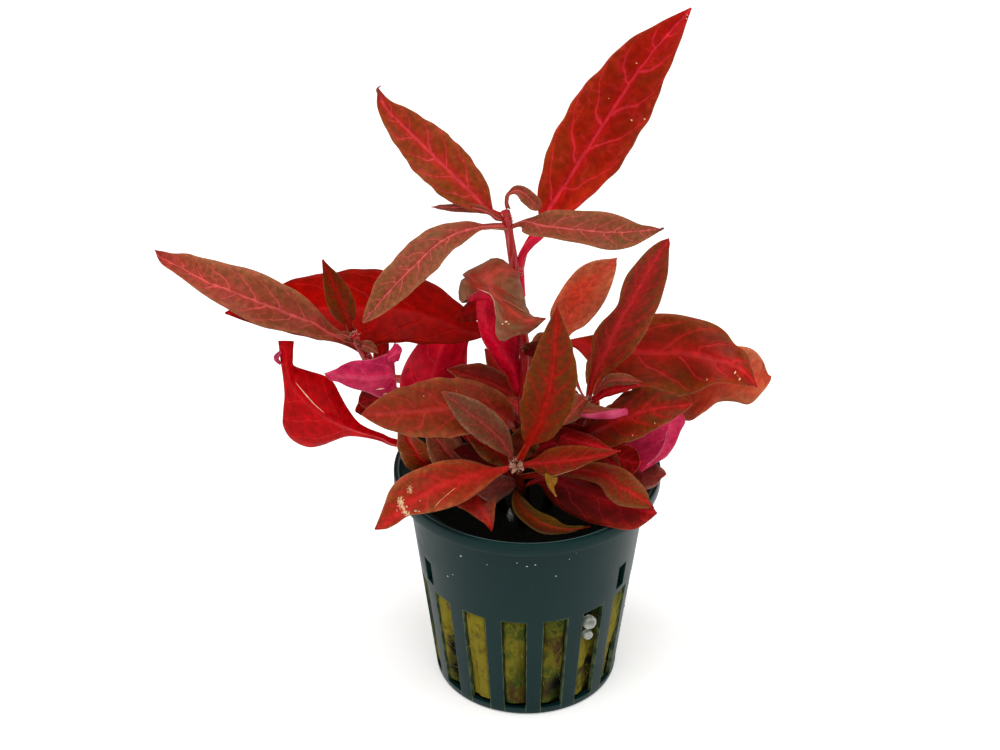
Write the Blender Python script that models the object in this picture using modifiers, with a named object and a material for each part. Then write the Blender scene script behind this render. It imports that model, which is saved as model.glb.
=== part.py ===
"""Red Alternanthera reineckii cuttings growing in a net pot, for an aquarium.

Metres, +Z up. The origin is the centre of the pot's underside. Looking along +Y is the
front view. The plants' points are given in millimetres and turned into metres once.
"""
import math
from dataclasses import dataclass

import bmesh
import bpy
from mathutils import Vector
from mathutils.geometry import intersect_point_line

MM = 0.001
GAP = 0.3 * MM

# Net pot
POT_HEIGHT = 50.5 * MM
POT_BASE_RADIUS = 19.1 * MM
POT_SHOULDER_RADIUS = 24.85 * MM
POT_RIM_RADIUS = 27.5 * MM
POT_WALL = 0.95 * MM
POT_FLOOR = 1.2 * MM
RIM_HEIGHT = 2.8 * MM
RIM_WALL = 1.2 * MM
RIM_EDGE = 0.4 * MM
POT_STEPS = 48

# Openings of the pot
SLOT_COUNT = 16
SLOT_ANGLE = 13.3
SLOT_PHASE = -7.2
SLOT_BOTTOM = 1.9 * MM
SLOT_TOP = 27.0 * MM
HOLE_ANGLES = (-62.2, 57.8, 177.8)
HOLE_WIDTH = 2.8 * MM
HOLE_HEIGHT = 6.0 * MM
HOLE_CENTRE = 31.5 * MM
DRAIN_COUNT = 8
DRAIN_WIDTH = 3.6 * MM
DRAIN_INNER = 8.0 * MM
DRAIN_OUTER = 15.0 * MM

# Rockwool plug
PLUG_BOTTOM = 1.6 * MM
PLUG_TOP = 38.5 * MM
PLUG_BASE_RADIUS = 17.4 * MM
PLUG_TOP_RADIUS = 21.8 * MM
PLUG_EDGE = 1.0 * MM
PLUG_DOME = 0.4 * MM
PLUG_STEPS = 32

# Water granules caught in one slot: diameter, height, angle from the front
GRANULE_REACH = 21.5 * MM
GRANULE_UPPER = (3.0 * MM, 23.4 * MM, 36.4)
GRANULE_LOWER = (2.2 * MM, 20.3 * MM, 35.4)

# Plants
STEM_RADIUS = 1.1 * MM
STEM_POINTS = 11
NODE_SWELL = 1.12
LEAF_THICKNESS = 0.45 * MM

# Ways that a leaf's upper side looks
TO_FRONT = (0.0, -0.84, 0.54)
TO_BACK = (0.0, 0.84, -0.54)
UP_FRONT = (0.0, -0.58, 0.81)
UPRIGHT_FRONT = (0.0, -0.95, 0.3)
UP_BACK = (0.0, 0.45, 0.89)


@dataclass
class Leaf:
    """One leaf: its midrib from the stem's axis to the tip, and how its blade opens and tapers."""

    name: str
    stem: str
    midrib: list
    width: float
    face: tuple = TO_FRONT
    face_tip: tuple = None
    widest: float = 0.42
    stalk: float = 0.12
    stalk_width: float = 1.2
    tail: float = 0.0
    tail_width: float = 0.3
    keel: float = 0.12
    taper: float = 1.7
    finish: str = "leaf_olive"


FINISHES = {
    "pot_plastic": ((0.016, 0.036, 0.046), 0.35),
    "rockwool": ((0.16, 0.15, 0.03), 0.95),
    "granule": ((0.85, 0.87, 0.86), 0.12),
    "stem": ((0.33, 0.02, 0.03), 0.45),
    "leaf_red": ((0.36, 0.02, 0.012), 0.45),
    "leaf_olive": ((0.20, 0.05, 0.022), 0.5),
    "leaf_orange": ((0.42, 0.05, 0.02), 0.45),
    "leaf_dark": ((0.12, 0.01, 0.012), 0.5),
    "leaf_crimson": ((0.45, 0.01, 0.05), 0.45),
}

STEMS = {
    "stem_tall": [(0.6, 5.7, 27), (-0.3, 4.5, 39), (-0.8, 3, 52), (-1.1, 2, 66.7), (-0.8, 1, 79.3),
                  (-1.9, 0, 96.9), (-3.5, 0, 108.1), (-3.9, 0, 110.4)],
    "stem_left": [(-3, 1.5, 27), (-5, 1, 39), (-8.6, 0.5, 52), (-15.8, 0, 61.9), (-28.7, -2, 71.7),
                  (-32.1, -3, 79), (-34.6, -4, 85)],
    "stem_front": [(-0.4, -2, 27), (-1, -4.3, 39), (-1.5, -8, 50), (-2.2, -12, 59)],
    "stem_right": [(3.6, 1.6, 27), (4.2, 1.5, 39), (6.2, 1, 50), (9.7, -1, 60), (12.4, -4, 69.7)],
    "stem_back_left": [(-5, 7, 27), (-7.5, 8, 39), (-12, 7.5, 47), (-16, 6.5, 54)],
    "stem_back_right": [(5.6, 6.6, 27), (8, 8, 39), (11, 7.8, 50), (14, 6.8, 60)],
}
NODES = {
    "stem_tall": (66.7, 79.3, 96.9, 108.1),
    "stem_left": (52, 71.7, 79),
    "stem_front": (50, 58),
    "stem_right": (57, 68.5),
    "stem_back_left": (49,),
    "stem_back_right": (49,),
}


def tall_stem_leaves():
    """The leaf pairs of the tallest cutting, from its tip down."""
    return [
        Leaf("leaf_top_left", "stem_tall",
             [(-4, 0, 109), (-7.2, 0.5, 110.1), (-11.4, 1.5, 114.1), (-16.2, 3, 118.6),
              (-21.2, 5, 123.2), (-27.2, 7, 129), (-28.9, 8, 132.8)],
             width=9.8, face=(0.2, -0.85, 0.5), stalk=0.08, finish="leaf_red"),
        Leaf("leaf_top_right", "stem_tall",
             [(-3.5, 0, 108), (3, -5, 109.6), (8.7, -8, 111), (15.2, -11, 111.8),
              (20.8, -13, 113.2), (24.9, -14, 114.6)],
             width=8.4, face=(0, -0.55, 0.83), stalk=0.1, widest=0.52),
        Leaf("leaf_top_drooping", "stem_tall",
             [(-3.5, 0, 107.3), (-7.5, -3, 109), (-12.2, -6.2, 109.9), (-17, -9.5, 109.2),
              (-22.1, -13, 105.8), (-26.5, -15, 101.8), (-30.5, -16, 95.6)],
             width=7.6, face=(-0.2, -0.65, 0.74), face_tip=(-0.5, -0.8, 0.3), stalk=0.16, widest=0.52,
             taper=1.6),
        Leaf("leaf_top_small", "stem_tall",
             [(-3.9, 0, 110), (-7, 3.4, 110.4), (-12.4, 6.4, 108.3), (-19.1, 12, 105)],
             width=4.2, face=(0, 0.35, 0.93), keel=0.3),
        Leaf("leaf_top_young", "stem_tall",
             [(-3.9, 0, 110.4), (-4.4, -0.5, 112.8), (-3.8, -0.9, 115), (-1.6, -1.6, 115.8),
              (2.3, -3, 112.6)],
             width=1.9, face=(-0.4, -0.8, 0.5), keel=0.4),
        Leaf("leaf_tall_big", "stem_tall",
             [(-1.9, 0, 97), (-0.6, 1.5, 101.5), (3.4, 4, 107.6), (9.6, 6, 117.8), (16.2, 9, 128),
              (22.3, 12, 136.8), (30.9, 16, 146)],
             width=14.6, face=(-0.2, -0.87, 0.45), stalk=0.17, widest=0.43, finish="leaf_red"),
        Leaf("leaf_tall_curled", "stem_tall",
             [(-1.9, 0, 96.9), (-5.2, -3, 101), (-7.8, -7, 101.6), (-7.2, -10, 98), (-3.6, -12, 94.2),
              (3.2, -13.2, 93.8)],
             width=13, face=(-0.35, -0.45, 0.82), face_tip=(0.1, -0.95, 0.3), widest=0.5, keel=-0.15),
        Leaf("leaf_mid_left", "stem_tall",
             [(-0.9, 1, 80), (-10.6, 2, 81.8), (-23.8, 5, 85), (-37.7, 7, 84.6), (-50, 8, 83.5),
              (-61.1, 8, 82.5)],
             width=15, face=(0, -0.78, 0.63), stalk=0.12, widest=0.45, finish="leaf_red"),
        Leaf("leaf_mid_right", "stem_tall",
             [(-0.7, 1, 79.4), (8, 3, 77.6), (16.5, 3, 76.8), (25.4, 3, 76.2), (33, 0, 78),
              (40.6, -4, 79.4)],
             width=17, face=(0, -0.8, 0.6), stalk=0.3, stalk_width=2.4, widest=0.52, taper=1.2,
             finish="leaf_red"),
        Leaf("leaf_mid_crimson", "stem_tall",
             [(-1, 2, 67.4), (-3.6, 0, 75.5), (-7.4, -2.6, 84.5), (-9.8, -3.6, 94)],
             width=8, face=TO_BACK, widest=0.5, finish="leaf_crimson"),
        Leaf("leaf_mid_mauve", "stem_tall",
             [(-1, 2, 66.2), (-3.9, 0.5, 68.4), (-7.6, -1.4, 72), (-15.9, -5.4, 77.7)],
             width=6.4, face=UP_FRONT, finish="leaf_dark"),
        Leaf("leaf_mid_inner", "stem_tall",
             [(-1, 2, 65), (-4, 4.4, 69.5), (-8.6, 5.6, 75.4)],
             width=5.6, face=TO_FRONT, finish="leaf_dark"),
        Leaf("leaf_tall_low", "stem_tall",
             [(-0.9, 2.6, 57), (-3, -3.4, 63.6), (-7.4, -8, 69.8), (-12.7, -12.4, 73.4),
              (-22.9, -18.4, 76.2), (-32, -24, 79.3)],
             width=11.8, face=(0, -0.72, 0.69), stalk=0.1, widest=0.58, taper=1.9,
             finish="leaf_orange"),
    ]


def left_stem_leaves():
    """The leaves of the cutting that leans out to the left."""
    return [
        Leaf("leaf_left_long", "stem_left",
             [(-32.3, -3.1, 79.6), (-37.2, -4, 84.6), (-46.8, -3, 89.6), (-56, 0, 93),
              (-65.5, 4, 94.8), (-74, 8, 96.6)],
             width=10, face=(-0.1, -0.78, 0.62), stalk=0.06, widest=0.38, taper=1.8),
        Leaf("leaf_left_dark", "stem_left",
             [(-34.6, -4, 85), (-36.1, -4.3, 90.4), (-37.7, -3.4, 94.8), (-40.1, -2, 100.8)],
             width=5.2, face=(0.2, -0.93, 0.3), finish="leaf_dark"),
        Leaf("leaf_left_magenta", "stem_left",
             [(-27.4, -1.8, 70.8), (-26.6, -6.4, 74.6), (-28, -9.2, 77.8), (-33.8, -10.4, 79.2),
              (-40.2, -12, 80.5)],
             width=8, face=TO_BACK, stalk=0.34, widest=0.32, finish="leaf_crimson"),
        Leaf("leaf_left_maroon", "stem_left",
             [(-26.4, -1.6, 70), (-28.4, -5, 68.4), (-31.4, -6.4, 70), (-34.4, -8, 72.2)],
             width=4.6, face=UP_FRONT, finish="leaf_dark"),
        Leaf("leaf_left_inner", "stem_left",
             [(-8.9, 0.5, 52.6), (-12, -3.6, 53), (-14.3, -6, 55.5), (-17, -10, 61.9),
              (-20.2, -13, 69.5)],
             width=7.4, face=(0, -0.86, 0.5)),
        Leaf("leaf_left_hanging", "stem_left",
             [(-7.7, 0.6, 49.4), (-10.2, -6, 52.4), (-10.8, -12.5, 54), (-9.6, -17.6, 52.6),
              (-7, -21, 49.5)],
             width=7.6, face=(0, -0.5, 0.87), face_tip=UPRIGHT_FRONT, widest=0.6,
             finish="leaf_orange"),
    ]


def front_stem_leaves():
    """The leaves of the short front cutting, whose rosette opens towards the viewer."""
    return [
        Leaf("leaf_front_left", "stem_front",
             [(-2.2, -12, 58.2), (-5, -15.6, 59.8), (-8.4, -18.6, 61.4), (-13.4, -24, 64),
              (-21.8, -30, 65.2), (-29.8, -34, 59.3)],
             width=10.4, face=(-0.1, -0.52, 0.85), widest=0.5, finish="leaf_orange"),
        Leaf("leaf_front_inner_left", "stem_front",
             [(-2.1, -11.4, 57.6), (-5.6, -13.4, 66.4), (-12.2, -17, 75.6), (-16.6, -19.4, 81.4)],
             width=7.2, face=(0.2, -0.85, 0.48), widest=0.45),
        Leaf("leaf_front_upright", "stem_front",
             [(-2.2, -12, 59), (0.2, -13.6, 65.6), (2.3, -14.6, 71.2), (4.2, -16.5, 81),
              (4.9, -18, 90), (5.2, -20, 101)],
             width=10.2, face=(0, -0.97, 0.24), stalk=0.14, widest=0.4),
        Leaf("leaf_front_right", "stem_front",
             [(-2.2, -12, 58.2), (2, -15.2, 61.6), (5.8, -18.2, 64.4), (10.4, -22, 68.2),
              (17.2, -28, 73.6)],
             width=7.4, face=(0.1, -0.58, 0.81), finish="leaf_orange"),
        Leaf("leaf_front_golden", "stem_front",
             [(-2, -10.8, 56.2), (1.4, -13.4, 58), (4, -17.6, 60), (5.6, -21.8, 58.2)],
             width=4.2, face=UP_FRONT, widest=0.5, finish="leaf_orange"),
        Leaf("leaf_front_violet", "stem_front",
             [(-1.7, -9.2, 52.8), (-5.8, -14, 55.8), (-10.2, -19, 57.9)],
             width=5.4, face=UP_FRONT, finish="leaf_dark"),
        Leaf("leaf_mouth_olive", "stem_front",
             [(-1.3, -6.4, 46.4), (-2.2, -12.4, 50), (-0.2, -17.2, 51), (3, -19.4, 50.4),
              (7, -20.4, 50), (12.6, -19.8, 49.9)],
             width=5.8, face=(0.2, 0.3, 0.93), face_tip=(0, -0.95, 0.3), widest=0.54),
        Leaf("leaf_rim_crimson", "stem_front",
             [(-1.4, -7.2, 48.4), (2.2, -8, 52.4), (6.8, -12, 55.2), (14.3, -18.6, 55.8),
              (25, -24, 56)],
             width=11, face=UP_FRONT, widest=0.55, finish="leaf_crimson"),
        Leaf("leaf_rim_olive", "stem_front",
             [(-1.8, -9.4, 54), (3, -12, 56.8), (7.6, -15, 59.8), (13, -19.4, 61.6), (18, -23, 61.6),
              (23.8, -28, 60.6)],
             width=7.4, face=UP_FRONT, widest=0.6),
        Leaf("leaf_front_purple", "stem_front",
             [(-1.6, -8.3, 51.4), (-4.4, -8, 55), (-9.6, -9.4, 58.8), (-14.8, -13, 63.4)],
             width=7.4, face=UP_FRONT, finish="leaf_dark"),
        Leaf("leaf_front_low_olive", "stem_front",
             [(-1.9, -10.2, 55), (-5, -10.8, 60.6), (-8, -12.4, 64), (-12, -15, 68.2)],
             width=5.6, face=TO_FRONT),
    ]


def right_stem_leaves():
    """The leaves of the cutting on the right, whose tip stands over the rim."""
    return [
        Leaf("leaf_right_tall", "stem_right",
             [(12.4, -4, 69.7), (13.9, -4.5, 76.4), (17.6, -5.2, 86.4), (22.1, -6, 97.4),
              (26.7, -7, 108.4)],
             width=10.4, face=(-0.1, -0.96, 0.26), widest=0.48),
        Leaf("leaf_right_small", "stem_right",
             [(12.1, -3.7, 68.6), (14.8, -6.8, 71.8), (17.6, -9, 75), (22.2, -12.2, 79)],
             width=4.6, face=UP_FRONT),
        Leaf("leaf_right_back", "stem_right",
             [(12, -3.4, 68.4), (9.7, 2, 72.2), (7.2, 6, 77.4), (9.4, 9, 83.4), (12.9, 10.5, 88),
              (17.8, 12, 93.2)],
             width=10.4, face=(-0.1, -0.9, 0.42), stalk=0.3, widest=0.5, taper=1.9,
             finish="leaf_orange"),
        Leaf("leaf_right_rolled", "stem_right",
             [(11.7, -3.3, 67.2), (12.6, -8, 69.8), (15.2, -12.6, 73.6), (19.4, -18, 76.2)],
             width=5, face=UP_FRONT, keel=0.3),
        Leaf("leaf_right_inner", "stem_right",
             [(11.2, -2.6, 65.8), (9.8, -8, 69.2), (8.6, -11, 71.8), (6.8, -14, 70.6)],
             width=5, face=UP_FRONT),
        Leaf("leaf_right_long", "stem_right",
             [(8.9, -0.5, 57.8), (11.8, -6, 62.6), (17.8, -11, 69.3), (24.2, -14.2, 74),
              (31.8, -16, 76.4)],
             width=10.6, face=(0, -0.65, 0.76), widest=0.52, finish="leaf_orange"),
        Leaf("leaf_right_crimson", "stem_right",
             [(8.3, -0.2, 56), (7.6, -6, 60.6), (10, -12, 66.4), (15.4, -18, 68.4)],
             width=5.2, face=UP_FRONT, finish="leaf_crimson"),
        Leaf("leaf_right_dark", "stem_right",
             [(7, 0.5, 52.4), (12, -4.4, 57), (16, -7.6, 60.2), (21.8, -14.6, 62)],
             width=7.4, face=UP_FRONT, finish="leaf_dark"),
    ]


def back_leaves():
    """The leaves of the two short cuttings behind, and of the tall one on its far side."""
    return [
        Leaf("leaf_low_left_red", "stem_back_left",
             [(-13.6, 7.2, 50), (-20.1, 4, 51.6), (-27.4, 2, 55.3), (-33.8, 1.5, 58.2),
              (-39.4, 1, 61), (-44.1, 0, 65), (-46.4, -1, 69.6), (-47.5, -1.5, 74.5),
              (-48.4, 0, 80.7)],
             width=14, face=(0.3, 0.8, -0.5), stalk=0.36, widest=0.5, taper=2.4, tail=0.14,
             tail_width=2.2, finish="leaf_crimson"),
        Leaf("leaf_low_left_olive", "stem_back_left",
             [(-12.6, 7.3, 48.2), (-18, 1, 50.4), (-21.1, -4, 54), (-23.3, -9, 61.7),
              (-25.6, -12, 69)],
             width=6.8, face=(-0.2, -0.85, 0.5), stalk=0.3),
        Leaf("leaf_back_left_upright", "stem_back_left",
             [(-16, 6.5, 54), (-17.4, 8.6, 62), (-18, 10.4, 72), (-19, 12, 84)],
             width=14.4, face=(0.1, 0.9, -0.3), widest=0.5, stalk=0.08, taper=2,
             finish="leaf_crimson"),
        Leaf("leaf_right_broad", "stem_back_right",
             [(14, 6.8, 59.8), (20, 8, 62.8), (27, 8.6, 64.6), (36, 8.2, 66.2), (43.4, 7, 67.4),
              (49.3, 4, 69.8)],
             width=16, face=(0, -0.72, 0.69), stalk=0.16, widest=0.56, taper=2.5,
             finish="leaf_orange"),
        Leaf("leaf_right_magenta", "stem_back_right",
             [(13.4, 6.9, 58), (19.6, 5, 60), (25.6, 1.4, 64.4), (28.6, -3.6, 65.6),
              (26.6, -8, 62.4), (22.6, -10, 57.4)],
             width=7.4, face=(0.4, 0.75, -0.4), widest=0.6, stalk=0.25, finish="leaf_crimson"),
        Leaf("leaf_rim_violet", "stem_back_right",
             [(10.6, 7.8, 48.6), (15.6, 1, 51.8), (20.6, -5.6, 53.8), (24.4, -10, 54.6),
              (28.2, -12.4, 53.2)],
             width=6.4, face=UP_FRONT, stalk=0.2, widest=0.6, finish="leaf_dark"),
        Leaf("leaf_back_middle", "stem_tall",
             [(-0.7, 3.3, 50), (-1, 10, 56), (-3, 20, 60.4), (-6, 29.5, 59.6)],
             width=11, face=UP_BACK, finish="leaf_orange"),
        Leaf("leaf_back_right", "stem_back_right",
             [(11.2, 7.8, 51), (15, 14, 56), (21, 21.6, 59), (27.6, 27.6, 57)],
             width=10, face=(0.2, 0.4, 0.89), finish="leaf_red"),
        Leaf("leaf_back_left", "stem_back_left",
             [(-13.4, 7.2, 49.6), (-16.8, 13, 54.4), (-23, 20, 57.6), (-30, 25, 56.6)],
             width=10, face=(-0.2, 0.4, 0.89), finish="leaf_red"),
        Leaf("leaf_back_high", "stem_tall",
             [(-1.1, 2, 67.6), (0.6, 8, 71.6), (3.4, 15.4, 74.6), (6.4, 23.6, 74.6)],
             width=8.6, face=UP_BACK, finish="leaf_olive"),
        Leaf("leaf_back_young", "stem_back_right",
             [(14, 6.8, 60), (14.8, 12, 64.4), (17.6, 18.6, 67.4), (20.4, 25.4, 66)],
             width=7.6, face=UP_BACK, finish="leaf_olive"),
    ]


def new_collection(name):
    """An empty collection of this name, linked to the scene."""
    collection = bpy.data.collections.new(name)
    bpy.context.scene.collection.children.link(collection)
    return collection


def finish_material(name):
    """The Principled material of a named finish, made on first use."""
    material = bpy.data.materials.get(name)
    if material is None:
        colour, roughness = FINISHES[name]
        material = bpy.data.materials.new(name)
        material.use_nodes = True
        shader = material.node_tree.nodes["Principled BSDF"]
        shader.inputs["Base Color"].default_value = (*colour, 1.0)
        shader.inputs["Roughness"].default_value = roughness
        shader.inputs["Metallic"].default_value = 0.0
        material.diffuse_color = (*colour, 1.0)
    return material


def add_object(name, data, collection, finish=None, parent=None):
    """An object of this data in a collection, with its finish and its parent."""
    item = bpy.data.objects.new(name, data)
    collection.objects.link(item)
    item.parent = parent
    if finish:
        data.materials.append(finish_material(finish))
    return item


def turned(name, profile, steps, collection):
    """A solid of revolution about Z from an inner to outer profile of (radius, height)."""
    bm = bmesh.new()
    points = [bm.verts.new((radius, 0.0, height)) for radius, height in profile]
    for first, second in zip(points, points[1:]):
        bm.edges.new((first, second))
    mesh = bpy.data.meshes.new(name)
    bm.to_mesh(mesh)
    bm.free()
    item = add_object(name, mesh, collection)
    screw = item.modifiers.new("Turn", "SCREW")
    screw.steps = steps
    screw.render_steps = steps
    screw.use_merge_vertices = True
    screw.merge_threshold = 0.00001
    return item


def cut(item, cutter):
    """Takes a cutter's shape out of an item, exactly."""
    boolean = item.modifiers.new(cutter.name, "BOOLEAN")
    boolean.operation = "DIFFERENCE"
    boolean.solver = "EXACT"
    boolean.object = cutter


def mark_cutter(cutter):
    """Shows a cutter as wire and keeps it out of the model."""
    cutter.hide_render = True
    cutter.display_type = "WIRE"
    return cutter


def around(angle, reach, height=0.0):
    """A point at an angle in degrees from the front (-Y), turning towards +X."""
    turn = math.radians(angle)
    return Vector((reach * math.sin(turn), -reach * math.cos(turn), height))


def wall_radius(height):
    """The outer radius of the pot's tapered wall at a height."""
    shoulder = POT_HEIGHT - RIM_HEIGHT
    return POT_BASE_RADIUS + (POT_SHOULDER_RADIUS - POT_BASE_RADIUS) * height / shoulder


def wedge_mesh(name, low, high, inner, angle):
    """A radial wedge from inner outwards between two heights, as wide as the angle at every reach."""
    bm = bmesh.new()
    bmesh.ops.create_cube(bm, size=1.0)
    half = math.radians(angle / 2)
    for vert in bm.verts:
        outer = vert.co.y < 0
        reach = POT_RIM_RADIUS if outer else inner
        side = math.copysign(reach * math.tan(half), vert.co.x)
        height = high if vert.co.z > 0 else low
        vert.co = (side, -reach, height)
    mesh = bpy.data.meshes.new(name)
    bm.to_mesh(mesh)
    bm.free()
    return mesh


def box_mesh(name, width, depth, height):
    """A box about its own centre."""
    bm = bmesh.new()
    bmesh.ops.create_cube(bm, size=1.0)
    bmesh.ops.scale(bm, vec=(width, depth, height), verts=bm.verts)
    mesh = bpy.data.meshes.new(name)
    bm.to_mesh(mesh)
    bm.free()
    return mesh


def joined_cutter(name, mesh, places, collection):
    """One cutter object from copies of a mesh, each at a (location, turn about Z)."""
    bm = bmesh.new()
    for location, angle in places:
        bm.from_mesh(mesh)
        fresh = bm.verts[-len(mesh.vertices):]
        spin = math.radians(angle)
        for vert in fresh:
            x, y, z = vert.co
            vert.co = Vector((x * math.cos(spin) - y * math.sin(spin),
                              x * math.sin(spin) + y * math.cos(spin), z)) + Vector(location)
        bm.verts.ensure_lookup_table()
    joined = bpy.data.meshes.new(name)
    bm.to_mesh(joined)
    bm.free()
    return mark_cutter(add_object(name, joined, collection))


def make_pot(parts, cutters, plant):
    """The net pot: a tapered cup with a stepped rim, wall slots, three holes and drain slots."""
    shoulder = POT_HEIGHT - RIM_HEIGHT
    rim_inner = POT_RIM_RADIUS - RIM_WALL
    rim_floor = shoulder + POT_WALL
    profile = [
        (0.0, POT_FLOOR),
        (wall_radius(POT_FLOOR) - POT_WALL, POT_FLOOR),
        (POT_SHOULDER_RADIUS - POT_WALL, rim_floor),
        (rim_inner, rim_floor + 0.2 * MM),
        (rim_inner, POT_HEIGHT - RIM_EDGE),
        (rim_inner + RIM_EDGE, POT_HEIGHT),
        (POT_RIM_RADIUS - RIM_EDGE, POT_HEIGHT),
        (POT_RIM_RADIUS, POT_HEIGHT - RIM_EDGE),
        (POT_RIM_RADIUS, shoulder + RIM_EDGE),
        (POT_RIM_RADIUS - RIM_EDGE, shoulder),
        (POT_SHOULDER_RADIUS, shoulder),
        (wall_radius(RIM_EDGE), RIM_EDGE),
        (POT_BASE_RADIUS - RIM_EDGE, 0.0),
        (0.0, 0.0),
    ]
    pot = turned("pot", profile, POT_STEPS, parts)
    pot.data.materials.append(finish_material("pot_plastic"))
    pot.parent = plant

    wedge = wedge_mesh("slot", SLOT_BOTTOM, SLOT_TOP, POT_BASE_RADIUS * 0.8, SLOT_ANGLE)
    turns = [SLOT_PHASE + 360 / SLOT_COUNT * index for index in range(SLOT_COUNT)]
    cut(pot, joined_cutter("wall_slots", wedge, [((0, 0, 0), turn) for turn in turns], cutters))

    hole = box_mesh("hole", HOLE_WIDTH, POT_BASE_RADIUS * 0.5, HOLE_HEIGHT)
    reach = wall_radius(HOLE_CENTRE)
    places = [(around(angle, reach, HOLE_CENTRE), angle) for angle in HOLE_ANGLES]
    cut(pot, joined_cutter("wall_holes", hole, places, cutters))

    drain = box_mesh("drain", DRAIN_WIDTH, DRAIN_OUTER - DRAIN_INNER, POT_FLOOR * 3)
    middle = (DRAIN_OUTER + DRAIN_INNER) / 2
    turns = [SLOT_PHASE + 360 / DRAIN_COUNT * index for index in range(DRAIN_COUNT)]
    cut(pot, joined_cutter("drain_slots", drain, [(around(turn, middle), turn) for turn in turns], cutters))
    return pot


def make_plug(parts, cutters, plant):
    """The rockwool plug, with a socket for each cutting and a dent where the granules press in."""
    profile = [
        (0.0, PLUG_TOP + PLUG_DOME),
        (PLUG_TOP_RADIUS - PLUG_EDGE, PLUG_TOP),
        (PLUG_TOP_RADIUS, PLUG_TOP - PLUG_EDGE),
        (PLUG_BASE_RADIUS, PLUG_BOTTOM + PLUG_EDGE),
        (PLUG_BASE_RADIUS - PLUG_EDGE, PLUG_BOTTOM),
        (0.0, PLUG_BOTTOM),
    ]
    plug = turned("rockwool_plug", profile, PLUG_STEPS, parts)
    plug.data.materials.append(finish_material("rockwool"))
    plug.parent = plant
    for name, points in STEMS.items():
        foot, surface = [Vector(point) * MM for point in points[:2]]
        along = (surface - foot).normalized()
        low = foot - along * GAP
        high = surface + along * 4 * MM
        bm = bmesh.new()
        radius = STEM_RADIUS + GAP
        bmesh.ops.create_cone(bm, cap_ends=True, segments=12, radius1=radius, radius2=radius,
                              depth=(high - low).length)
        turn = Vector((0, 0, 1)).rotation_difference(along).to_matrix()
        bmesh.ops.rotate(bm, cent=(0, 0, 0), matrix=turn, verts=bm.verts)
        bmesh.ops.translate(bm, vec=(low + high) / 2, verts=bm.verts)
        mesh = bpy.data.meshes.new(f"socket_{name}")
        bm.to_mesh(mesh)
        bm.free()
        cut(plug, mark_cutter(add_object(f"socket_{name}", mesh, cutters)))
    for name, (diameter, height, angle) in (("upper", GRANULE_UPPER), ("lower", GRANULE_LOWER)):
        mesh = ball_mesh(f"dent_{name}", diameter / 2 + GAP)
        dent = mark_cutter(add_object(f"dent_{name}", mesh, cutters))
        dent.location = around(angle, GRANULE_REACH, height)
        cut(plug, dent)
    return plug


def ball_mesh(name, radius):
    """A small round ball about its own centre."""
    bm = bmesh.new()
    bmesh.ops.create_uvsphere(bm, u_segments=12, v_segments=8, radius=radius)
    mesh = bpy.data.meshes.new(name)
    bm.to_mesh(mesh)
    bm.free()
    return mesh


def make_granules(parts, plant):
    """The two clear granules wedged in the slot."""
    for name, (diameter, height, angle) in (("upper", GRANULE_UPPER), ("lower", GRANULE_LOWER)):
        ball = add_object(f"granule_{name}", ball_mesh(f"granule_{name}", diameter / 2), parts,
                          "granule", plant)
        ball.data.shade_smooth()
        ball.location = around(angle, GRANULE_REACH, height)


def smooth_path(points, per_span):
    """Catmull-Rom points through the given millimetre points, in metres."""
    knots = [Vector(point) * MM for point in points]
    knots = [knots[0] * 2 - knots[1]] + knots + [knots[-1] * 2 - knots[-2]]
    path = []
    for a, b, c, d in zip(knots, knots[1:], knots[2:], knots[3:]):
        for index in range(per_span):
            t = index / per_span
            path.append(0.5 * (2 * b + (c - a) * t + (2 * a - 5 * b + 4 * c - d) * t ** 2
                               + (3 * b - a - 3 * c + d) * t ** 3))
    path.append(knots[-2])
    return path


def length_of(path):
    """The length of a path along its points."""
    return sum((b - a).length for a, b in zip(path, path[1:]))


def point_along(path, distance):
    """The point a distance along a path, and the direction of the path there."""
    for a, b in zip(path, path[1:]):
        step = (b - a).length
        if distance <= step:
            return a.lerp(b, distance / step), (b - a).normalized()
        distance -= step
    return path[-1], (path[-1] - path[-2]).normalized()


def stem_path(name):
    """The axis of a stem: straight in the plug, then smooth through its points."""
    points = STEMS[name]
    above = smooth_path(points[1:], 6)
    return [Vector(points[0]) * MM] + above


def distance_to(path, point):
    """The least distance from a point to a path."""
    best = math.inf
    for a, b in zip(path, path[1:]):
        nearest, share = intersect_point_line(point, a, b)
        if share < 0:
            nearest = a
        elif share > 1:
            nearest = b
        best = min(best, (nearest - point).length)
    return best


def make_stem(name, parts, plant):
    """One cutting's stem: a round tube that swells at its nodes."""
    axis = stem_path(name)
    total = length_of(axis)
    start = (axis[1] - axis[0]).length
    stations = [0.0, start * 0.5] + [
        start + (total - start) * index / (STEM_POINTS - 3) for index in range(STEM_POINTS - 2)]
    curve = bpy.data.curves.new(name, "CURVE")
    curve.dimensions = "3D"
    curve.bevel_depth = STEM_RADIUS
    curve.bevel_resolution = 2
    curve.use_fill_caps = True
    spline = curve.splines.new("POLY")
    spline.points.add(len(stations) - 1)
    for point, distance in zip(spline.points, stations):
        place, _ = point_along(axis, distance)
        near = min(abs(place.z / MM - height) for height in NODES[name])
        swell = NODE_SWELL if near < 2.5 and distance > start + GAP else 1.0
        narrow = 1.0 - 0.18 * max(0.0, distance - start) / (total - start)
        point.co = (*place, 1.0)
        point.radius = swell * narrow
    return add_object(name, curve, parts, "stem", plant)


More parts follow.
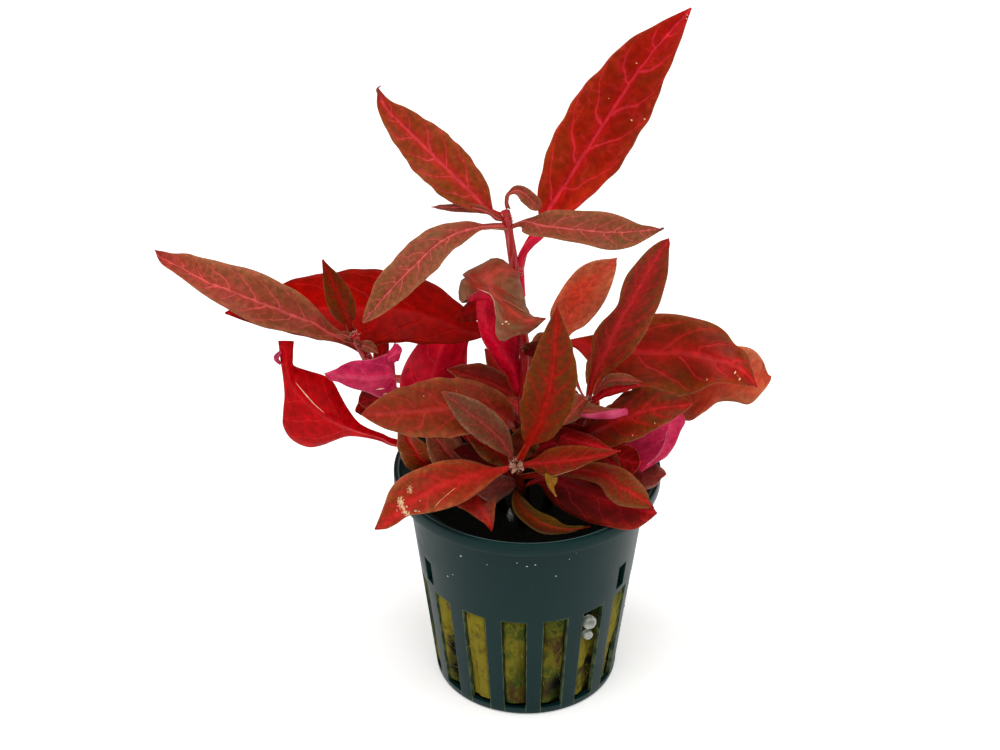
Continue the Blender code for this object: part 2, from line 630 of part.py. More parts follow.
def leaf_frame(leaf, path, distance, share):
    """The place on a midrib and the directions along it, across the blade and out of its upper side."""
    place, along = point_along(path, distance)
    before, _ = point_along(path, max(0.0, distance - 0.6 * MM))
    after, _ = point_along(path, distance + 0.6 * MM)
    if (after - before).length > 0:
        along = (after - before).normalized()
    face = Vector(leaf.face)
    if leaf.face_tip:
        face = face.lerp(Vector(leaf.face_tip), share)
    across = face.cross(along).normalized()
    return place, across, along.cross(across)


def leaf_half_width(leaf, share):
    """Half the width of a leaf at a share of its length from the stem."""
    stalk = (leaf.stalk_width + (leaf.tail_width - leaf.stalk_width) * share) / 2 * MM
    blade = min(1.0, max(0.0, (share - leaf.stalk) / (1 - leaf.stalk - leaf.tail)))
    rise = (blade / leaf.widest) ** (leaf.taper * leaf.widest)
    fall = ((1 - blade) / (1 - leaf.widest)) ** (leaf.taper * (1 - leaf.widest))
    return math.hypot(stalk, leaf.width / 2 * MM * rise * fall)


def leaf_start(leaf, path, axis):
    """How far along its midrib a leaf begins, so that its foot stays clear of the stem."""
    reach = STEM_RADIUS * NODE_SWELL + GAP
    distance = 0.0
    while distance < length_of(path) / 2:
        place, across, out = leaf_frame(leaf, path, distance, 0.0)
        corners = [place + across * leaf.stalk_width / 2 * MM * side + out * LEAF_THICKNESS / 2 * face
                   for side in (-1, 0, 1) for face in (-1, 1)]
        if min(distance_to(axis, corner) for corner in corners) > reach:
            return distance
        distance += 0.1 * MM
    return distance


def make_leaf(leaf, parts, plant):
    """One leaf: a grid laid along the midrib, widened to the blade's outline, then given its thickness."""
    path = smooth_path(leaf.midrib, 10)
    start = leaf_start(leaf, path, stem_path(leaf.stem))
    length = length_of(path) - start
    rows = max(6, round(length / (5.5 * MM)))
    columns = 4 if leaf.width > 8 else 2
    bm = bmesh.new()
    bmesh.ops.create_grid(bm, x_segments=rows, y_segments=columns, size=1.0)
    origin, _ = point_along(path, start)
    for vert in bm.verts:
        share, side = (vert.co.x + 1) / 2, vert.co.y
        place, across, out = leaf_frame(leaf, path, start + share * length, share)
        half = leaf_half_width(leaf, share)
        vert.co = place + across * side * half + out * leaf.keel * abs(side) * half - origin
    mesh = bpy.data.meshes.new(leaf.name)
    bm.to_mesh(mesh)
    bm.free()
    item = add_object(leaf.name, mesh, parts, leaf.finish, plant)
    item.location = origin
    mesh.shade_smooth()
    solid = item.modifiers.new("Thickness", "SOLIDIFY")
    solid.thickness = LEAF_THICKNESS
    solid.offset = 0.0
    return item


def main():
    """Builds the pot, what fills it and the six cuttings with their leaves."""
    for old in list(bpy.data.objects):
        bpy.data.objects.remove(old, do_unlink=True)
    parts = new_collection("alternanthera_reineckii")
    cutters = new_collection("cutters")
    plant = bpy.data.objects.new("plant", None)
    parts.objects.link(plant)
    make_pot(parts, cutters, plant)
    make_plug(parts, cutters, plant)
    make_granules(parts, plant)
    for name in STEMS:
        make_stem(name, parts, plant)
    leaves = (tall_stem_leaves() + left_stem_leaves() + front_stem_leaves()
              + right_stem_leaves() + back_leaves())
    for leaf in leaves:
        make_leaf(leaf, parts, plant)


main()
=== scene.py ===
"""The looks of a red Alternanthera reineckii growing in its net pot.

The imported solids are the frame. Every piece here is built over its solid at the same place,
in metres, with the leaf's own outline, fold and veins.
"""
import logging
import math
import random
from dataclasses import KW_ONLY, dataclass, field
from enum import Enum
from typing import ClassVar, Iterable, Iterator, Optional, Sequence, Union

import bmesh
import bpy
from mathutils import Matrix, Vector, noise


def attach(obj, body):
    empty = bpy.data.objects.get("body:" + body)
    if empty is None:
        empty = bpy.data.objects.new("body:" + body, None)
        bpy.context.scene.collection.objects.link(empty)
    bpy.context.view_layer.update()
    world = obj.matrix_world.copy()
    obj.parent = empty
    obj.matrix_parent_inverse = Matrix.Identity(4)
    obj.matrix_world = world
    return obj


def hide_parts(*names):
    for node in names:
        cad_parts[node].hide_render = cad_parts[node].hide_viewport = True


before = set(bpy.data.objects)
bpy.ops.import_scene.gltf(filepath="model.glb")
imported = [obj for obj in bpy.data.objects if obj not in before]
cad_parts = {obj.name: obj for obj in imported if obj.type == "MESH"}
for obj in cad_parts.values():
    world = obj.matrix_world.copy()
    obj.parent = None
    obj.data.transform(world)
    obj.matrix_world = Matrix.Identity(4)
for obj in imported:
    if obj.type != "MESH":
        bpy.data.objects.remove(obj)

Point = tuple[float, float, float]
Colour = tuple[float, float, float, float]
Feed = Union[bpy.types.NodeSocket, float, Sequence[float]]
Mark = tuple[float, float, float, float, float]

MM = 0.001
BODY = "root"
log = logging.getLogger("plant")


def srgb(code: str) -> Colour:
    """Turns a screen colour into a linear one.

    Args:
        code: Six hexadecimal digits.

    Returns:
        The linear colour with full alpha.
    """
    parts = [int(code[place:place + 2], 16) / 255 for place in (0, 2, 4)]
    red, green, blue = [part / 12.92 if part <= 0.04045 else ((part + 0.055) / 1.055) ** 2.4
                        for part in parts]
    return red, green, blue, 1.0


def smooth_step(low: float, high: float, value: float) -> float:
    """A soft step from 0 at low to 1 at high."""
    share = min(1.0, max(0.0, (value - low) / (high - low)))
    return share * share * (3 - 2 * share)


def hump(value: float, centre: float, reach: float) -> float:
    """A bell of height 1 at the centre, which has all but gone two reaches away."""
    return math.exp(-((value - centre) / reach) ** 2)


def around(turn: float, reach: float, height: float) -> Vector:
    """The place at an angle from the front, a reach from the axis and a height in millimetres."""
    return Vector((reach * math.sin(turn), -reach * math.cos(turn), height)) * MM


class Shader:
    """A Principled material whose sockets are fed by nodes."""

    def __init__(self, name: str) -> None:
        """Makes the material with one Principled shader.

        Args:
            name: The material's name.
        """
        self.material = bpy.data.materials.new(name)
        self.material.use_nodes = True
        self.tree = self.material.node_tree
        self.surface = self.tree.nodes["Principled BSDF"]

    def node(self, kind: str, **settings: object) -> bpy.types.Node:
        """Adds a node of a kind and sets its properties.

        Args:
            kind: The node's type.
            settings: Its properties.

        Returns:
            The new node.
        """
        made = self.tree.nodes.new(kind)
        for key, value in settings.items():
            setattr(made, key, value)
        return made

    def feed(self, socket: bpy.types.NodeSocket, value: Feed) -> None:
        """Links a socket to another, or sets its value.

        Args:
            socket: The socket to fill.
            value: A socket, a number or a colour.
        """
        if isinstance(value, bpy.types.NodeSocket):
            self.tree.links.new(value, socket)
        else:
            socket.default_value = value

    def math(self, operation: str, *values: Feed) -> bpy.types.NodeSocket:
        """The result of a Math node.

        Args:
            operation: What it does.
            values: Its inputs.

        Returns:
            The result's socket.
        """
        made = self.node("ShaderNodeMath", operation=operation)
        for socket, value in zip(made.inputs, values):
            self.feed(socket, value)
        return made.outputs[0]

    def mix(self, share: Feed, first: Feed, second: Feed,
            blend: str = "MIX") -> bpy.types.NodeSocket:
        """Mixes two colours.

        Args:
            share: How much of the second colour shows.
            first: The colour at 0.
            second: The colour at 1.
            blend: The way that they are combined.

        Returns:
            The mixed colour's socket.
        """
        made = self.node("ShaderNodeMix", data_type="RGBA", blend_type=blend)
        self.feed(made.inputs["Factor"], share)
        self.feed(made.inputs[6], first)
        self.feed(made.inputs[7], second)
        return made.outputs[2]

    def band(self, value: Feed, low: float, high: float, start: float = 0.0,
             end: float = 1.0) -> bpy.types.NodeSocket:
        """A soft step of a value from start, at low, to end, at high.

        Args:
            value: What is stepped.
            low: Where the step starts.
            high: Where it ends.
            start: The result at low.
            end: The result at high.

        Returns:
            The result's socket.
        """
        made = self.node("ShaderNodeMapRange", interpolation_type="SMOOTHSTEP")
        for name, given in (("Value", value), ("From Min", low), ("From Max", high),
                            ("To Min", start), ("To Max", end)):
            self.feed(made.inputs[name], given)
        return made.outputs["Result"]

    def object_place(self, stretch: Point = (1.0, 1.0, 1.0)) -> bpy.types.NodeSocket:
        """The place on the piece in metres, stretched along each axis.

        Args:
            stretch: The scale along each axis.

        Returns:
            The place's socket.
        """
        coordinates = self.node("ShaderNodeTexCoord")
        mapping = self.node("ShaderNodeMapping")
        self.feed(mapping.inputs["Vector"], coordinates.outputs["Object"])
        mapping.inputs["Scale"].default_value = stretch
        return mapping.outputs["Vector"]

    def attribute(self, name: str) -> bpy.types.NodeSocket:
        """The vector that the mesh carries under a name."""
        return self.node("ShaderNodeAttribute", attribute_name=name).outputs["Vector"]

    def split(self, vector: Feed) -> tuple[bpy.types.NodeSocket, ...]:
        """The three parts of a vector.

        Args:
            vector: The vector.

        Returns:
            The sockets of its parts.
        """
        made = self.node("ShaderNodeSeparateXYZ")
        self.feed(made.inputs[0], vector)
        return tuple(made.outputs)

    def joined(self, *values: Feed) -> bpy.types.NodeSocket:
        """A vector of three values.

        Args:
            values: The parts.

        Returns:
            The vector's socket.
        """
        made = self.node("ShaderNodeCombineXYZ")
        for socket, value in zip(made.inputs, values):
            self.feed(socket, value)
        return made.outputs[0]

    def noise(self, place: Feed, scale: float, detail: float = 3.0,
              rough: float = 0.55) -> bpy.types.NodeSocket:
        """Cloudy noise from 0 to 1 at a place.

        Args:
            place: Where it is read.
            scale: How fine it is.
            detail: How many finer layers it has.
            rough: How strong those are.

        Returns:
            The noise's socket.
        """
        made = self.node("ShaderNodeTexNoise")
        self.feed(made.inputs["Vector"], place)
        made.inputs["Scale"].default_value = scale
        made.inputs["Detail"].default_value = detail
        made.inputs["Roughness"].default_value = rough
        return made.outputs["Fac"]

    def cell_edges(self, place: Feed, scale: float) -> bpy.types.NodeSocket:
        """The distance to the nearest edge of a cell pattern.

        Args:
            place: Where it is read.
            scale: How fine the cells are.

        Returns:
            The distance's socket.
        """
        made = self.node("ShaderNodeTexVoronoi", feature="DISTANCE_TO_EDGE")
        self.feed(made.inputs["Vector"], place)
        made.inputs["Scale"].default_value = scale
        return made.outputs["Distance"]

    def relief(self, height: Feed, depth: float, strength: float = 1.0) -> None:
        """Feeds a height in 0 to 1, of a real depth in metres, to the surface's normal.

        Args:
            height: The height.
            depth: Its full depth in metres.
            strength: How much of it shows.
        """
        made = self.node("ShaderNodeBump")
        made.inputs["Distance"].default_value = depth
        made.inputs["Strength"].default_value = strength
        self.feed(made.inputs["Height"], height)
        self.feed(self.surface.inputs["Normal"], made.outputs["Normal"])

    def set(self, **values: Feed) -> None:
        """Feeds the surface's sockets, named with underscores for spaces."""
        for name, value in values.items():
            self.feed(self.surface.inputs[name.replace("_", " ")], value)


@dataclass(frozen=True)
class LeafFinish:
    """The skin of one side of a leaf, with its net of veins.

    The mesh carries "vein_place" (along, across and the share across) and "tone" (painted
    light and shade, scar and blush).
    """

    name: str
    blade: str
    patch: str
    halo: str
    vein: str
    margin: str
    rim: str = "b07850"
    scar: str = "d8b68c"
    vein_strength: float = 0.7
    vein_width: float = 0.42
    rib_width: float = 0.72
    net_strength: float = 0.3
    halo_strength: float = 0.75
    halo_reach: float = 1.7
    patch_strength: float = 0.7
    margin_strength: float = 0.7
    pitch: float = 5.2
    lean: float = 0.85
    arch: float = 0.9
    stagger: float = 0.42
    cloud_scale: float = 0.17
    roughness: float = 0.42
    gloss: float = 0.09
    depth: float = 0.22
    raised: bool = False

    def vein_net(self, shader: Shader) -> tuple[bpy.types.NodeSocket, ...]:
        """Builds the midrib, the side veins that arch forward, and the fine net between them.

        Args:
            shader: The material under construction.

        Returns:
            The sharp line of the veins, the soft glow beside them, and the fine net.
        """
        along, across, side = shader.split(shader.attribute("vein_place"))
        place = shader.joined(along, across, 0.0)
        bend = shader.math("MULTIPLY_ADD", shader.noise(place, 0.2, 2.0), 4.6, -2.3)
        reach = shader.math("ABSOLUTE", across)
        edge = shader.math("ABSOLUTE", side)
        slant = shader.math("MULTIPLY", reach, self.lean)
        arch = shader.math("MULTIPLY", shader.math("POWER", edge, 3.0), self.pitch * self.arch)
        left = shader.math("MULTIPLY", shader.math("GREATER_THAN", across, 0.0),
                           self.pitch * self.stagger)
        run = along
        for way, amount in (("SUBTRACT", slant), ("SUBTRACT", arch), ("ADD", left), ("ADD", bend)):
            run = shader.math(way, run, amount)
        step = shader.math("DIVIDE", run, self.pitch)
        phase = shader.math("SUBTRACT", shader.math("FRACT", step), 0.5)
        off_line = shader.math("MULTIPLY", shader.math("ABSOLUTE", phase), self.pitch)
        far = shader.math("MULTIPLY", edge, 0.6)
        side_line = shader.band(off_line, self.vein_width, 0.08)
        side_line = shader.math("MULTIPLY", side_line, shader.math("SUBTRACT", 1.0, far))
        side_glow = shader.band(off_line, self.halo_reach, 0.1)
        side_glow = shader.math("MULTIPLY", side_glow, shader.math("SUBTRACT", 0.95, far))
        wander = shader.math("MULTIPLY_ADD", shader.noise(place, 0.5, 1.0), 0.6, -0.3)
        rib_way = shader.math("ABSOLUTE", shader.math("ADD", across, wander))
        slim = shader.math("MULTIPLY_ADD", shader.split(shader.attribute("share"))[0], -0.75, 1.3)
        rib_way = shader.math("DIVIDE", rib_way, slim)
        rib_line = shader.band(rib_way, self.rib_width, 0.12)
        rib_glow = shader.band(rib_way, self.rib_width + self.halo_reach, 0.3)
        line = shader.math("MAXIMUM", side_line, rib_line)
        glow = shader.math("MAXIMUM", side_glow, rib_glow)
        tangle = shader.noise(place, 1.1, 2.0)
        wavy = shader.joined(shader.math("ADD", along, tangle),
                             shader.math("SUBTRACT", across, tangle), 0.0)
        net = shader.band(shader.cell_edges(wavy, 0.62), 0.12, 0.0)
        patchy = shader.band(shader.noise(place, 0.35, 3.0), 0.35, 0.7)
        return line, glow, shader.math("MULTIPLY", net, patchy)

    def material(self) -> bpy.types.Material:
        """The leaf's material, made on first use.

        Returns:
            The material.
        """
        made = bpy.data.materials.get(self.name)
        if made:
            return made
        shader = Shader(self.name)
        line, glow, net = self.vein_net(shader)
        along, across, side = shader.split(shader.attribute("vein_place"))
        light, scar, blush = shader.split(shader.attribute("tone"))
        place = shader.joined(along, across, 3.0)
        cloud = shader.band(shader.noise(place, self.cloud_scale, 4.0, 0.62), 0.36, 0.64)
        colour = shader.mix(shader.math("MULTIPLY", cloud, self.patch_strength), srgb(self.blade),
                            srgb(self.patch))
        grain = shader.noise(place, 1.6, 2.0, 0.5)
        edge = shader.math("ADD", shader.math("ABSOLUTE", side),
                           shader.math("MULTIPLY_ADD", grain, 0.4, -0.2))
        colour = shader.mix(shader.band(edge, 0.6, 1.02, 0.0, self.margin_strength), colour,
                            srgb(self.margin))
        colour = shader.mix(shader.math("MULTIPLY", blush, 0.9), colour, srgb(self.halo))
        blot = shader.band(shader.noise(place, 0.33, 3.0), 0.25, 0.6, 0.55, 1.0)
        warm = shader.math("MULTIPLY", shader.math("MULTIPLY", glow, self.halo_strength), blot)
        colour = shader.mix(warm, colour, srgb(self.halo))
        fine = shader.math("MULTIPLY", net, self.vein_strength * self.net_strength)
        colour = shader.mix(fine, colour, srgb(self.vein))
        drawn = shader.math("MULTIPLY", shader.math("MULTIPLY", line, self.vein_strength), blot)
        colour = shader.mix(drawn, colour, srgb(self.vein))
        brim = shader.band(shader.math("ABSOLUTE", side), 0.95, 1.0, 0.0, 0.6)
        colour = shader.mix(shader.math("MULTIPLY", brim, grain), colour, srgb(self.rim))
        soft = shader.noise(place, 0.9, 2.0, 0.5)
        speck = shader.band(soft, 0.28, 0.72, 0.82, 1.2)
        # Painted light and shade: the colour times the leaf's light factor, with a random mottle.
        mottle_and_painted_light = shader.math("MULTIPLY", speck, light)
        colour = shader.mix(1.0, colour, shader.joined(mottle_and_painted_light, mottle_and_painted_light, mottle_and_painted_light), "MULTIPLY")
        ragged = shader.math("MULTIPLY_ADD", shader.noise(place, 2.6, 4.0, 0.75), 2.2, -1.5)
        torn = shader.band(shader.math("ADD", scar, ragged), 0.3, 0.5)
        torn = shader.math("MULTIPLY", torn, shader.band(scar, 0.02, 0.2))
        colour = shader.mix(torn, colour, srgb(self.scar))
        rough = shader.math("MULTIPLY_ADD", grain, 0.22, self.roughness - 0.11)
        shader.set(Base_Color=colour, Roughness=rough, Metallic=0.0, Specular_IOR_Level=self.gloss)
        sign = 0.6 if self.raised else -0.6
        height = shader.math("MULTIPLY_ADD", line, sign, 0.5)
        height = shader.math("MULTIPLY_ADD", net, sign * 0.3, height)
        height = shader.math("MULTIPLY_ADD", grain, 0.22, height)
        shader.relief(height, self.depth * MM, 0.8)
        return shader.material


class Upper(Enum):
    """The upper sides that the leaves show."""

    DEEP_RED = LeafFinish("leaf_deep_red", "8a1402", "762606", "a60e0a", "d42c3a", "8a2c10",
                          pitch=6.4, rib_width=0.34, gloss=0.05, halo_reach=1.3,
                          margin_strength=0.55)
    SMOOTH_RED = LeafFinish("leaf_smooth_red", "900400", "640800", "9c0400", "a40a0c", "701000",
                            rim="7c3420", vein_strength=0.4, margin_strength=0.4, gloss=0.04)
    WARM_RED = LeafFinish("leaf_warm_red", "82300e", "6c380c", "ae1a16", "d03e44", "8e461c",
                          rib_width=0.55)
    FRONT_RED = LeafFinish("leaf_front_red", "8c2a12", "7a3c18", "a81812", "c42420", "a0562e",
                           rib_width=1.15, vein_width=0.6)
    MAUVE_OLIVE = LeafFinish("leaf_mauve_olive", "6c3822", "5c4428", "84281c", "a8403a", "8c6044",
                             vein_strength=0.6, halo_strength=0.6, rib_width=0.8)
    TAN_RED = LeafFinish("leaf_tan_red", "7e3621", "6c3f1d", "9c2820", "d25250", "905634",
                         rim="b88868", halo_strength=0.42, rib_width=0.36, vein_width=0.36,
                         cloud_scale=0.26)
    FADED_RED = LeafFinish("leaf_faded_red", "7e2c12", "6a3814", "9a1c12", "b43a32", "8c4a26",
                           vein_strength=0.45, rib_width=1.0, vein_width=0.6)
    MOTTLED = LeafFinish("leaf_mottled", "7a2a16", "66482a", "a02a20", "b84038", "866048",
                         vein_strength=0.3, halo_strength=0.22, patch_strength=1.0,
                         net_strength=0.5, cloud_scale=0.4)
    GOLD = LeafFinish("leaf_gold", "7a5410", "6a5a12", "8a4814", "985818", "84681c",
                      vein_strength=0.3, halo_strength=0.2)
    ROSY_OLIVE = LeafFinish("leaf_rosy_olive", "783c24", "66441e", "942c22", "cc5856", "905634",
                            rim="b88868", halo_strength=0.5, rib_width=0.4, vein_width=0.36)
    BROWN_RED = LeafFinish("leaf_brown_red", "741c04", "603008", "a20e0a", "bc2224", "80400e")
    CRIMSON = LeafFinish("leaf_crimson_red", "640804", "500804", "880808", "a81a28", "741c0a",
                         rim="b05040", vein_strength=0.5)
    OLIVE = LeafFinish("leaf_olive_brown", "6c2c0a", "5a3a0a", "940e06", "b01a18", "7a5226",
                       halo_reach=1.2, rib_width=0.9, vein_width=0.5)
    DEEP_OLIVE = LeafFinish("leaf_deep_olive", "6c2402", "5a2e02", "960a02", "a81408", "6e3c08",
                            halo_reach=1.0, gloss=0.05, rib_width=0.9, vein_width=0.5)
    ORANGE = LeafFinish("leaf_orange_red", "b45638", "a05c38", "c03820", "cc5440", "b4704c",
                        vein_strength=0.45, halo_strength=0.55)
    DARK = LeafFinish("leaf_dark_purple", "60180e", "4c1e0a", "780c08", "92241e", "70381e",
                      rim="a07868", vein_strength=0.5)
    VIOLET = LeafFinish("leaf_dark_violet", "6c3028", "5c3228", "741c20", "884038", "806054",
                        rim="a88084", vein_strength=0.4, halo_strength=0.4)
    OLIVE_GOLD = LeafFinish("leaf_olive_gold", "483806", "5c460c", "882804", "ac2c10", "786018",
                            halo_reach=1.0)
    BRACT = LeafFinish("leaf_bract", "c8a484", "b08c68", "bc7c60", "d09c84", "e4d0b4",
                       rim="e8ccb8", vein_strength=0.4)


class Under(Enum):
    """The undersides that the leaves show."""

    CRIMSON = LeafFinish("under_crimson", "bc0006", "960002", "cc020c", "d01020", "a80406",
                         rim="b84830", vein_strength=0.35, net_strength=0.12, raised=True,
                         roughness=0.36, gloss=0.05, margin_strength=0.3)
    CLARET = LeafFinish("under_claret", "c00414", "9a0410", "c80a1c", "d02a40", "a00c18",
                        rim="c06050", vein_strength=0.4, net_strength=0.12, raised=True,
                        gloss=0.06)
    MAGENTA = LeafFinish("under_magenta", "c0204e", "a81846", "cc2850", "e05c80", "b02850",
                         rim="e0a0a8", vein_strength=0.3, raised=True, margin_strength=0.4)
    WINE = LeafFinish("under_wine", "b40020", "980018", "cc0428", "c82440", "98102a",
                      rim="c06060", vein_strength=0.35, net_strength=0.15, raised=True)


@dataclass(frozen=True)
class PotFinish:
    """Dark blue-green moulded plastic, satin, with faint streaks, a pale green film at the slots'
    edges that is partly a painted highlight of the lit cut edges, and a painted highlight line
    round the rim's inner top edge.
    """

    name: str = "pot_plastic"
    plain: str = "062626"
    dusty: str = "183430"
    # Pale edge colour at the slots: partly a green film, partly a painted highlight of the lit cut
    # edges.
    slime_and_edge_highlight: str = "66744c"
    # The colour of the painted highlight on the rim's inner top edge.
    rim_highlight: str = "5c706c"
    roughness: float = 0.34
    gloss: float = 0.1
    depth: float = 0.03
    slot_pitch: float = 22.5
    slot_phase: float = -7.2
    slot_half: float = 6.65
    slot_top: float = 27.0
    lip_low: float = 50.0
    lip_high: float = 50.3
    lip_inner: float = 26.5
    lip_outer: float = 26.85

    def slot_edges(self, shader: Shader) -> bpy.types.NodeSocket:
        """Marks the edges of the wall slots, from 0 to 1.

        Args:
            shader: The material under construction.

        Returns:
            The mark's socket.
        """
        across, depth, height = shader.split(shader.object_place())
        turn = shader.math("ARCTAN2", across, shader.math("MULTIPLY", depth, -1.0))
        turn = shader.math("MULTIPLY", turn, 180 / math.pi)
        from_first = shader.math("SUBTRACT", turn, self.slot_phase)
        step = shader.math("DIVIDE", from_first, self.slot_pitch)
        inside = shader.math("SUBTRACT", shader.math("FRACT", shader.math("ADD", step, 0.5)), 0.5)
        middle = shader.math("MULTIPLY", shader.math("ABSOLUTE", inside), self.slot_pitch)
        off = shader.math("ABSOLUTE", shader.math("SUBTRACT", middle, self.slot_half))
        side = shader.math("MULTIPLY", shader.band(off, 0.55, 0.1),
                           shader.math("LESS_THAN", height, self.slot_top * MM))
        over = shader.math("ABSOLUTE", shader.math("SUBTRACT", height, self.slot_top * MM))
        top = shader.math("MULTIPLY", shader.band(over, 0.25 * MM, 0.05 * MM),
                          shader.math("LESS_THAN", middle, self.slot_half))
        return shader.math("MAXIMUM", side, top)

    def material(self) -> bpy.types.Material:
        """The pot's material.

        Returns:
            The material.
        """
        shader = Shader(self.name)
        place = shader.object_place()
        streak = shader.noise(shader.object_place((1.0, 1.0, 0.18)), 260.0, 4.0)
        cloud = shader.band(shader.noise(place, 70.0, 4.0), 0.42, 0.75)
        colour = shader.mix(shader.math("MULTIPLY", cloud, 0.3), srgb(self.plain), srgb(self.dusty))
        colour = shader.mix(shader.band(streak, 0.55, 0.8, 0.0, 0.2), colour, srgb(self.dusty))
        # Pale lines at the slots' edges: partly a green film, partly a painted highlight of the lit
        # cut edges.
        ragged = shader.band(shader.noise(place, 420.0, 3.0), 0.35, 0.65, 0.15, 0.75)
        colour = shader.mix(shader.math("MULTIPLY", self.slot_edges(shader), ragged), colour,
                            srgb(self.slime_and_edge_highlight))
        grain = shader.noise(place, 2600.0, 2.0)
        rough = shader.math("MULTIPLY_ADD", cloud, 0.16, self.roughness)
        across, depth, height = shader.split(place)
        reach = shader.math("POWER", shader.math("ADD", shader.math("MULTIPLY", across, across),
                                                 shader.math("MULTIPLY", depth, depth)), 0.5)
        # Painted highlight: a thin pale line round the inner top edge of the rim.
        lip = shader.math("MULTIPLY",
                          shader.band(height, self.lip_low * MM, self.lip_high * MM, 0.0, 0.8),
                          shader.band(reach, self.lip_outer * MM, self.lip_inner * MM))
        colour = shader.mix(lip, colour, srgb(self.rim_highlight))
        shader.set(Base_Color=colour, Roughness=rough, Metallic=0.0, Specular_IOR_Level=self.gloss)
        height = shader.math("MULTIPLY_ADD", grain, 0.5, shader.math("MULTIPLY", streak, 0.4))
        shader.relief(height, self.depth * MM, 0.6)
        return shader.material


@dataclass(frozen=True)
class WoolFinish:
    """Wet rockwool: yellow-green fibre, brown where stained, and near black in patches and, as
    painted shade, in its hollows, at the slots' shaded sides and at its top down in the pot.

    The mesh carries "stain": yellow, dark (mostly painted shade) and brown.
    """

    name: str = "rockwool"
    plain: str = "2c3c04"
    yellow: str = "7a6c14"
    # The near black of the painted shade.
    dark: str = "030802"
    brown: str = "442c06"
    lit_strand: str = "787a22"
    deep_strand: str = "1c2006"
    depth: float = 0.8

    def material(self) -> bpy.types.Material:
        """The plug's material.

        Returns:
            The material.
        """
        shader = Shader(self.name)
        yellow, dark, brown = shader.split(shader.attribute("stain"))
        place = shader.object_place()
        strand = shader.noise(shader.object_place((1.0, 1.0, 0.45)), 900.0, 5.0, 0.65)
        clump = shader.noise(place, 260.0, 4.0, 0.6)
        ragged = shader.math("MULTIPLY_ADD", clump, 1.2, -0.6)
        lit = shader.band(shader.math("ADD", yellow, ragged), 0.15, 0.7)
        colour = shader.mix(lit, srgb(self.plain), srgb(self.yellow))
        soaked = shader.band(shader.math("ADD", brown, ragged), 0.35, 0.75)
        colour = shader.mix(soaked, colour, srgb(self.brown))
        colour = shader.mix(shader.band(strand, 0.45, 0.8, 0.0, 0.5), colour,
                            srgb(self.lit_strand))
        colour = shader.mix(shader.band(strand, 0.5, 0.25, 0.0, 0.75), colour,
                            srgb(self.deep_strand))
        # Painted shade: near black in the hollows, at the slots' shaded sides and at the top down
        # in the pot.
        patches_and_painted_shade = shader.band(shader.math("ADD", dark, ragged), 0.2, 0.7)
        colour = shader.mix(patches_and_painted_shade, colour, srgb(self.dark))
        shader.set(Base_Color=colour, Roughness=shader.band(strand, 0.2, 0.8, 0.55, 0.9),
                   Metallic=0.0, Specular_IOR_Level=0.1)
        height = shader.math("MULTIPLY_ADD", strand, 0.7, shader.math("MULTIPLY", clump, 0.5))
        shader.relief(height, self.depth * MM, 0.9)
        return shader.material


@dataclass(frozen=True)
class StrandFinish:
    """A loose fibre, hair or fleck in one tone with a little change along it."""

    name: str
    pale: str
    deep: str
    scale: float = 400.0
    roughness: float = 0.6

    def material(self) -> bpy.types.Material:
        """The fibre's material.

        Returns:
            The material.
        """
        shader = Shader(self.name)
        tone = shader.band(shader.noise(shader.object_place(), self.scale, 3.0), 0.35, 0.65)
        shader.set(Base_Color=shader.mix(tone, srgb(self.deep), srgb(self.pale)),
                   Roughness=shader.math("MULTIPLY_ADD", tone, 0.15, self.roughness - 0.08),
                   Metallic=0.0, Specular_IOR_Level=0.15)
        shader.relief(tone, 0.02 * MM, 0.5)
        return shader.material


@dataclass(frozen=True)
class StemFinish:
    """A crimson stem with pale stripes along it, painted darker low down, in the pot's shade."""

    name: str
    plain: str
    stripe: str
    shade: str
    # Painted shade: the near black that the stem fades to low down, where it stands in the pot's
    # shade.
    soaked: str = "120802"
    roughness: float = 0.36
    depth: float = 0.12
    shaded_below: float = 44.0
    unshaded_above: float = 58.0

    def material(self) -> bpy.types.Material:
        """The stem's material.

        Returns:
            The material.
        """
        shader = Shader(self.name)
        stripe = shader.noise(shader.object_place((1.0, 1.0, 0.09)), 1500.0, 3.0)
        cloud = shader.noise(shader.object_place((1.0, 1.0, 0.5)), 240.0, 3.0)
        colour = shader.mix(shader.band(cloud, 0.35, 0.7), srgb(self.plain), srgb(self.shade))
        colour = shader.mix(shader.band(stripe, 0.52, 0.72, 0.0, 0.75), colour, srgb(self.stripe))
        height = shader.split(shader.object_place())[2]
        # Painted shade: the stem darkens towards the bottom, down in the pot.
        wet = shader.band(height, self.unshaded_above * MM, self.shaded_below * MM)
        colour = shader.mix(wet, colour, srgb(self.soaked))
        shader.set(Base_Color=colour, Metallic=0.0, Specular_IOR_Level=0.25,
                   Roughness=shader.math("MULTIPLY_ADD", stripe, 0.2, self.roughness - 0.1))
        shader.relief(stripe, self.depth * MM, 0.7)
        return shader.material


@dataclass(frozen=True)
class GranuleFinish:
    """A milky, wet granule that lets some light through."""

    name: str = "granule"
    clear: str = "b0b6ac"
    cloudy: str = "f0f2ee"

    def material(self) -> bpy.types.Material:
        """The granules' material.

        Returns:
            The material.
        """
        shader = Shader(self.name)
        cloud = shader.noise(shader.object_place(), 900.0, 3.0)
        colour = shader.mix(shader.band(cloud, 0.4, 0.65), srgb(self.clear), srgb(self.cloudy))
        shader.set(Base_Color=colour, Roughness=shader.math("MULTIPLY_ADD", cloud, 0.2, 0.05),
                   Metallic=0.0, Transmission_Weight=0.6, Coat_Weight=0.5)
        shader.relief(cloud, 0.02 * MM, 0.4)
        return shader.material


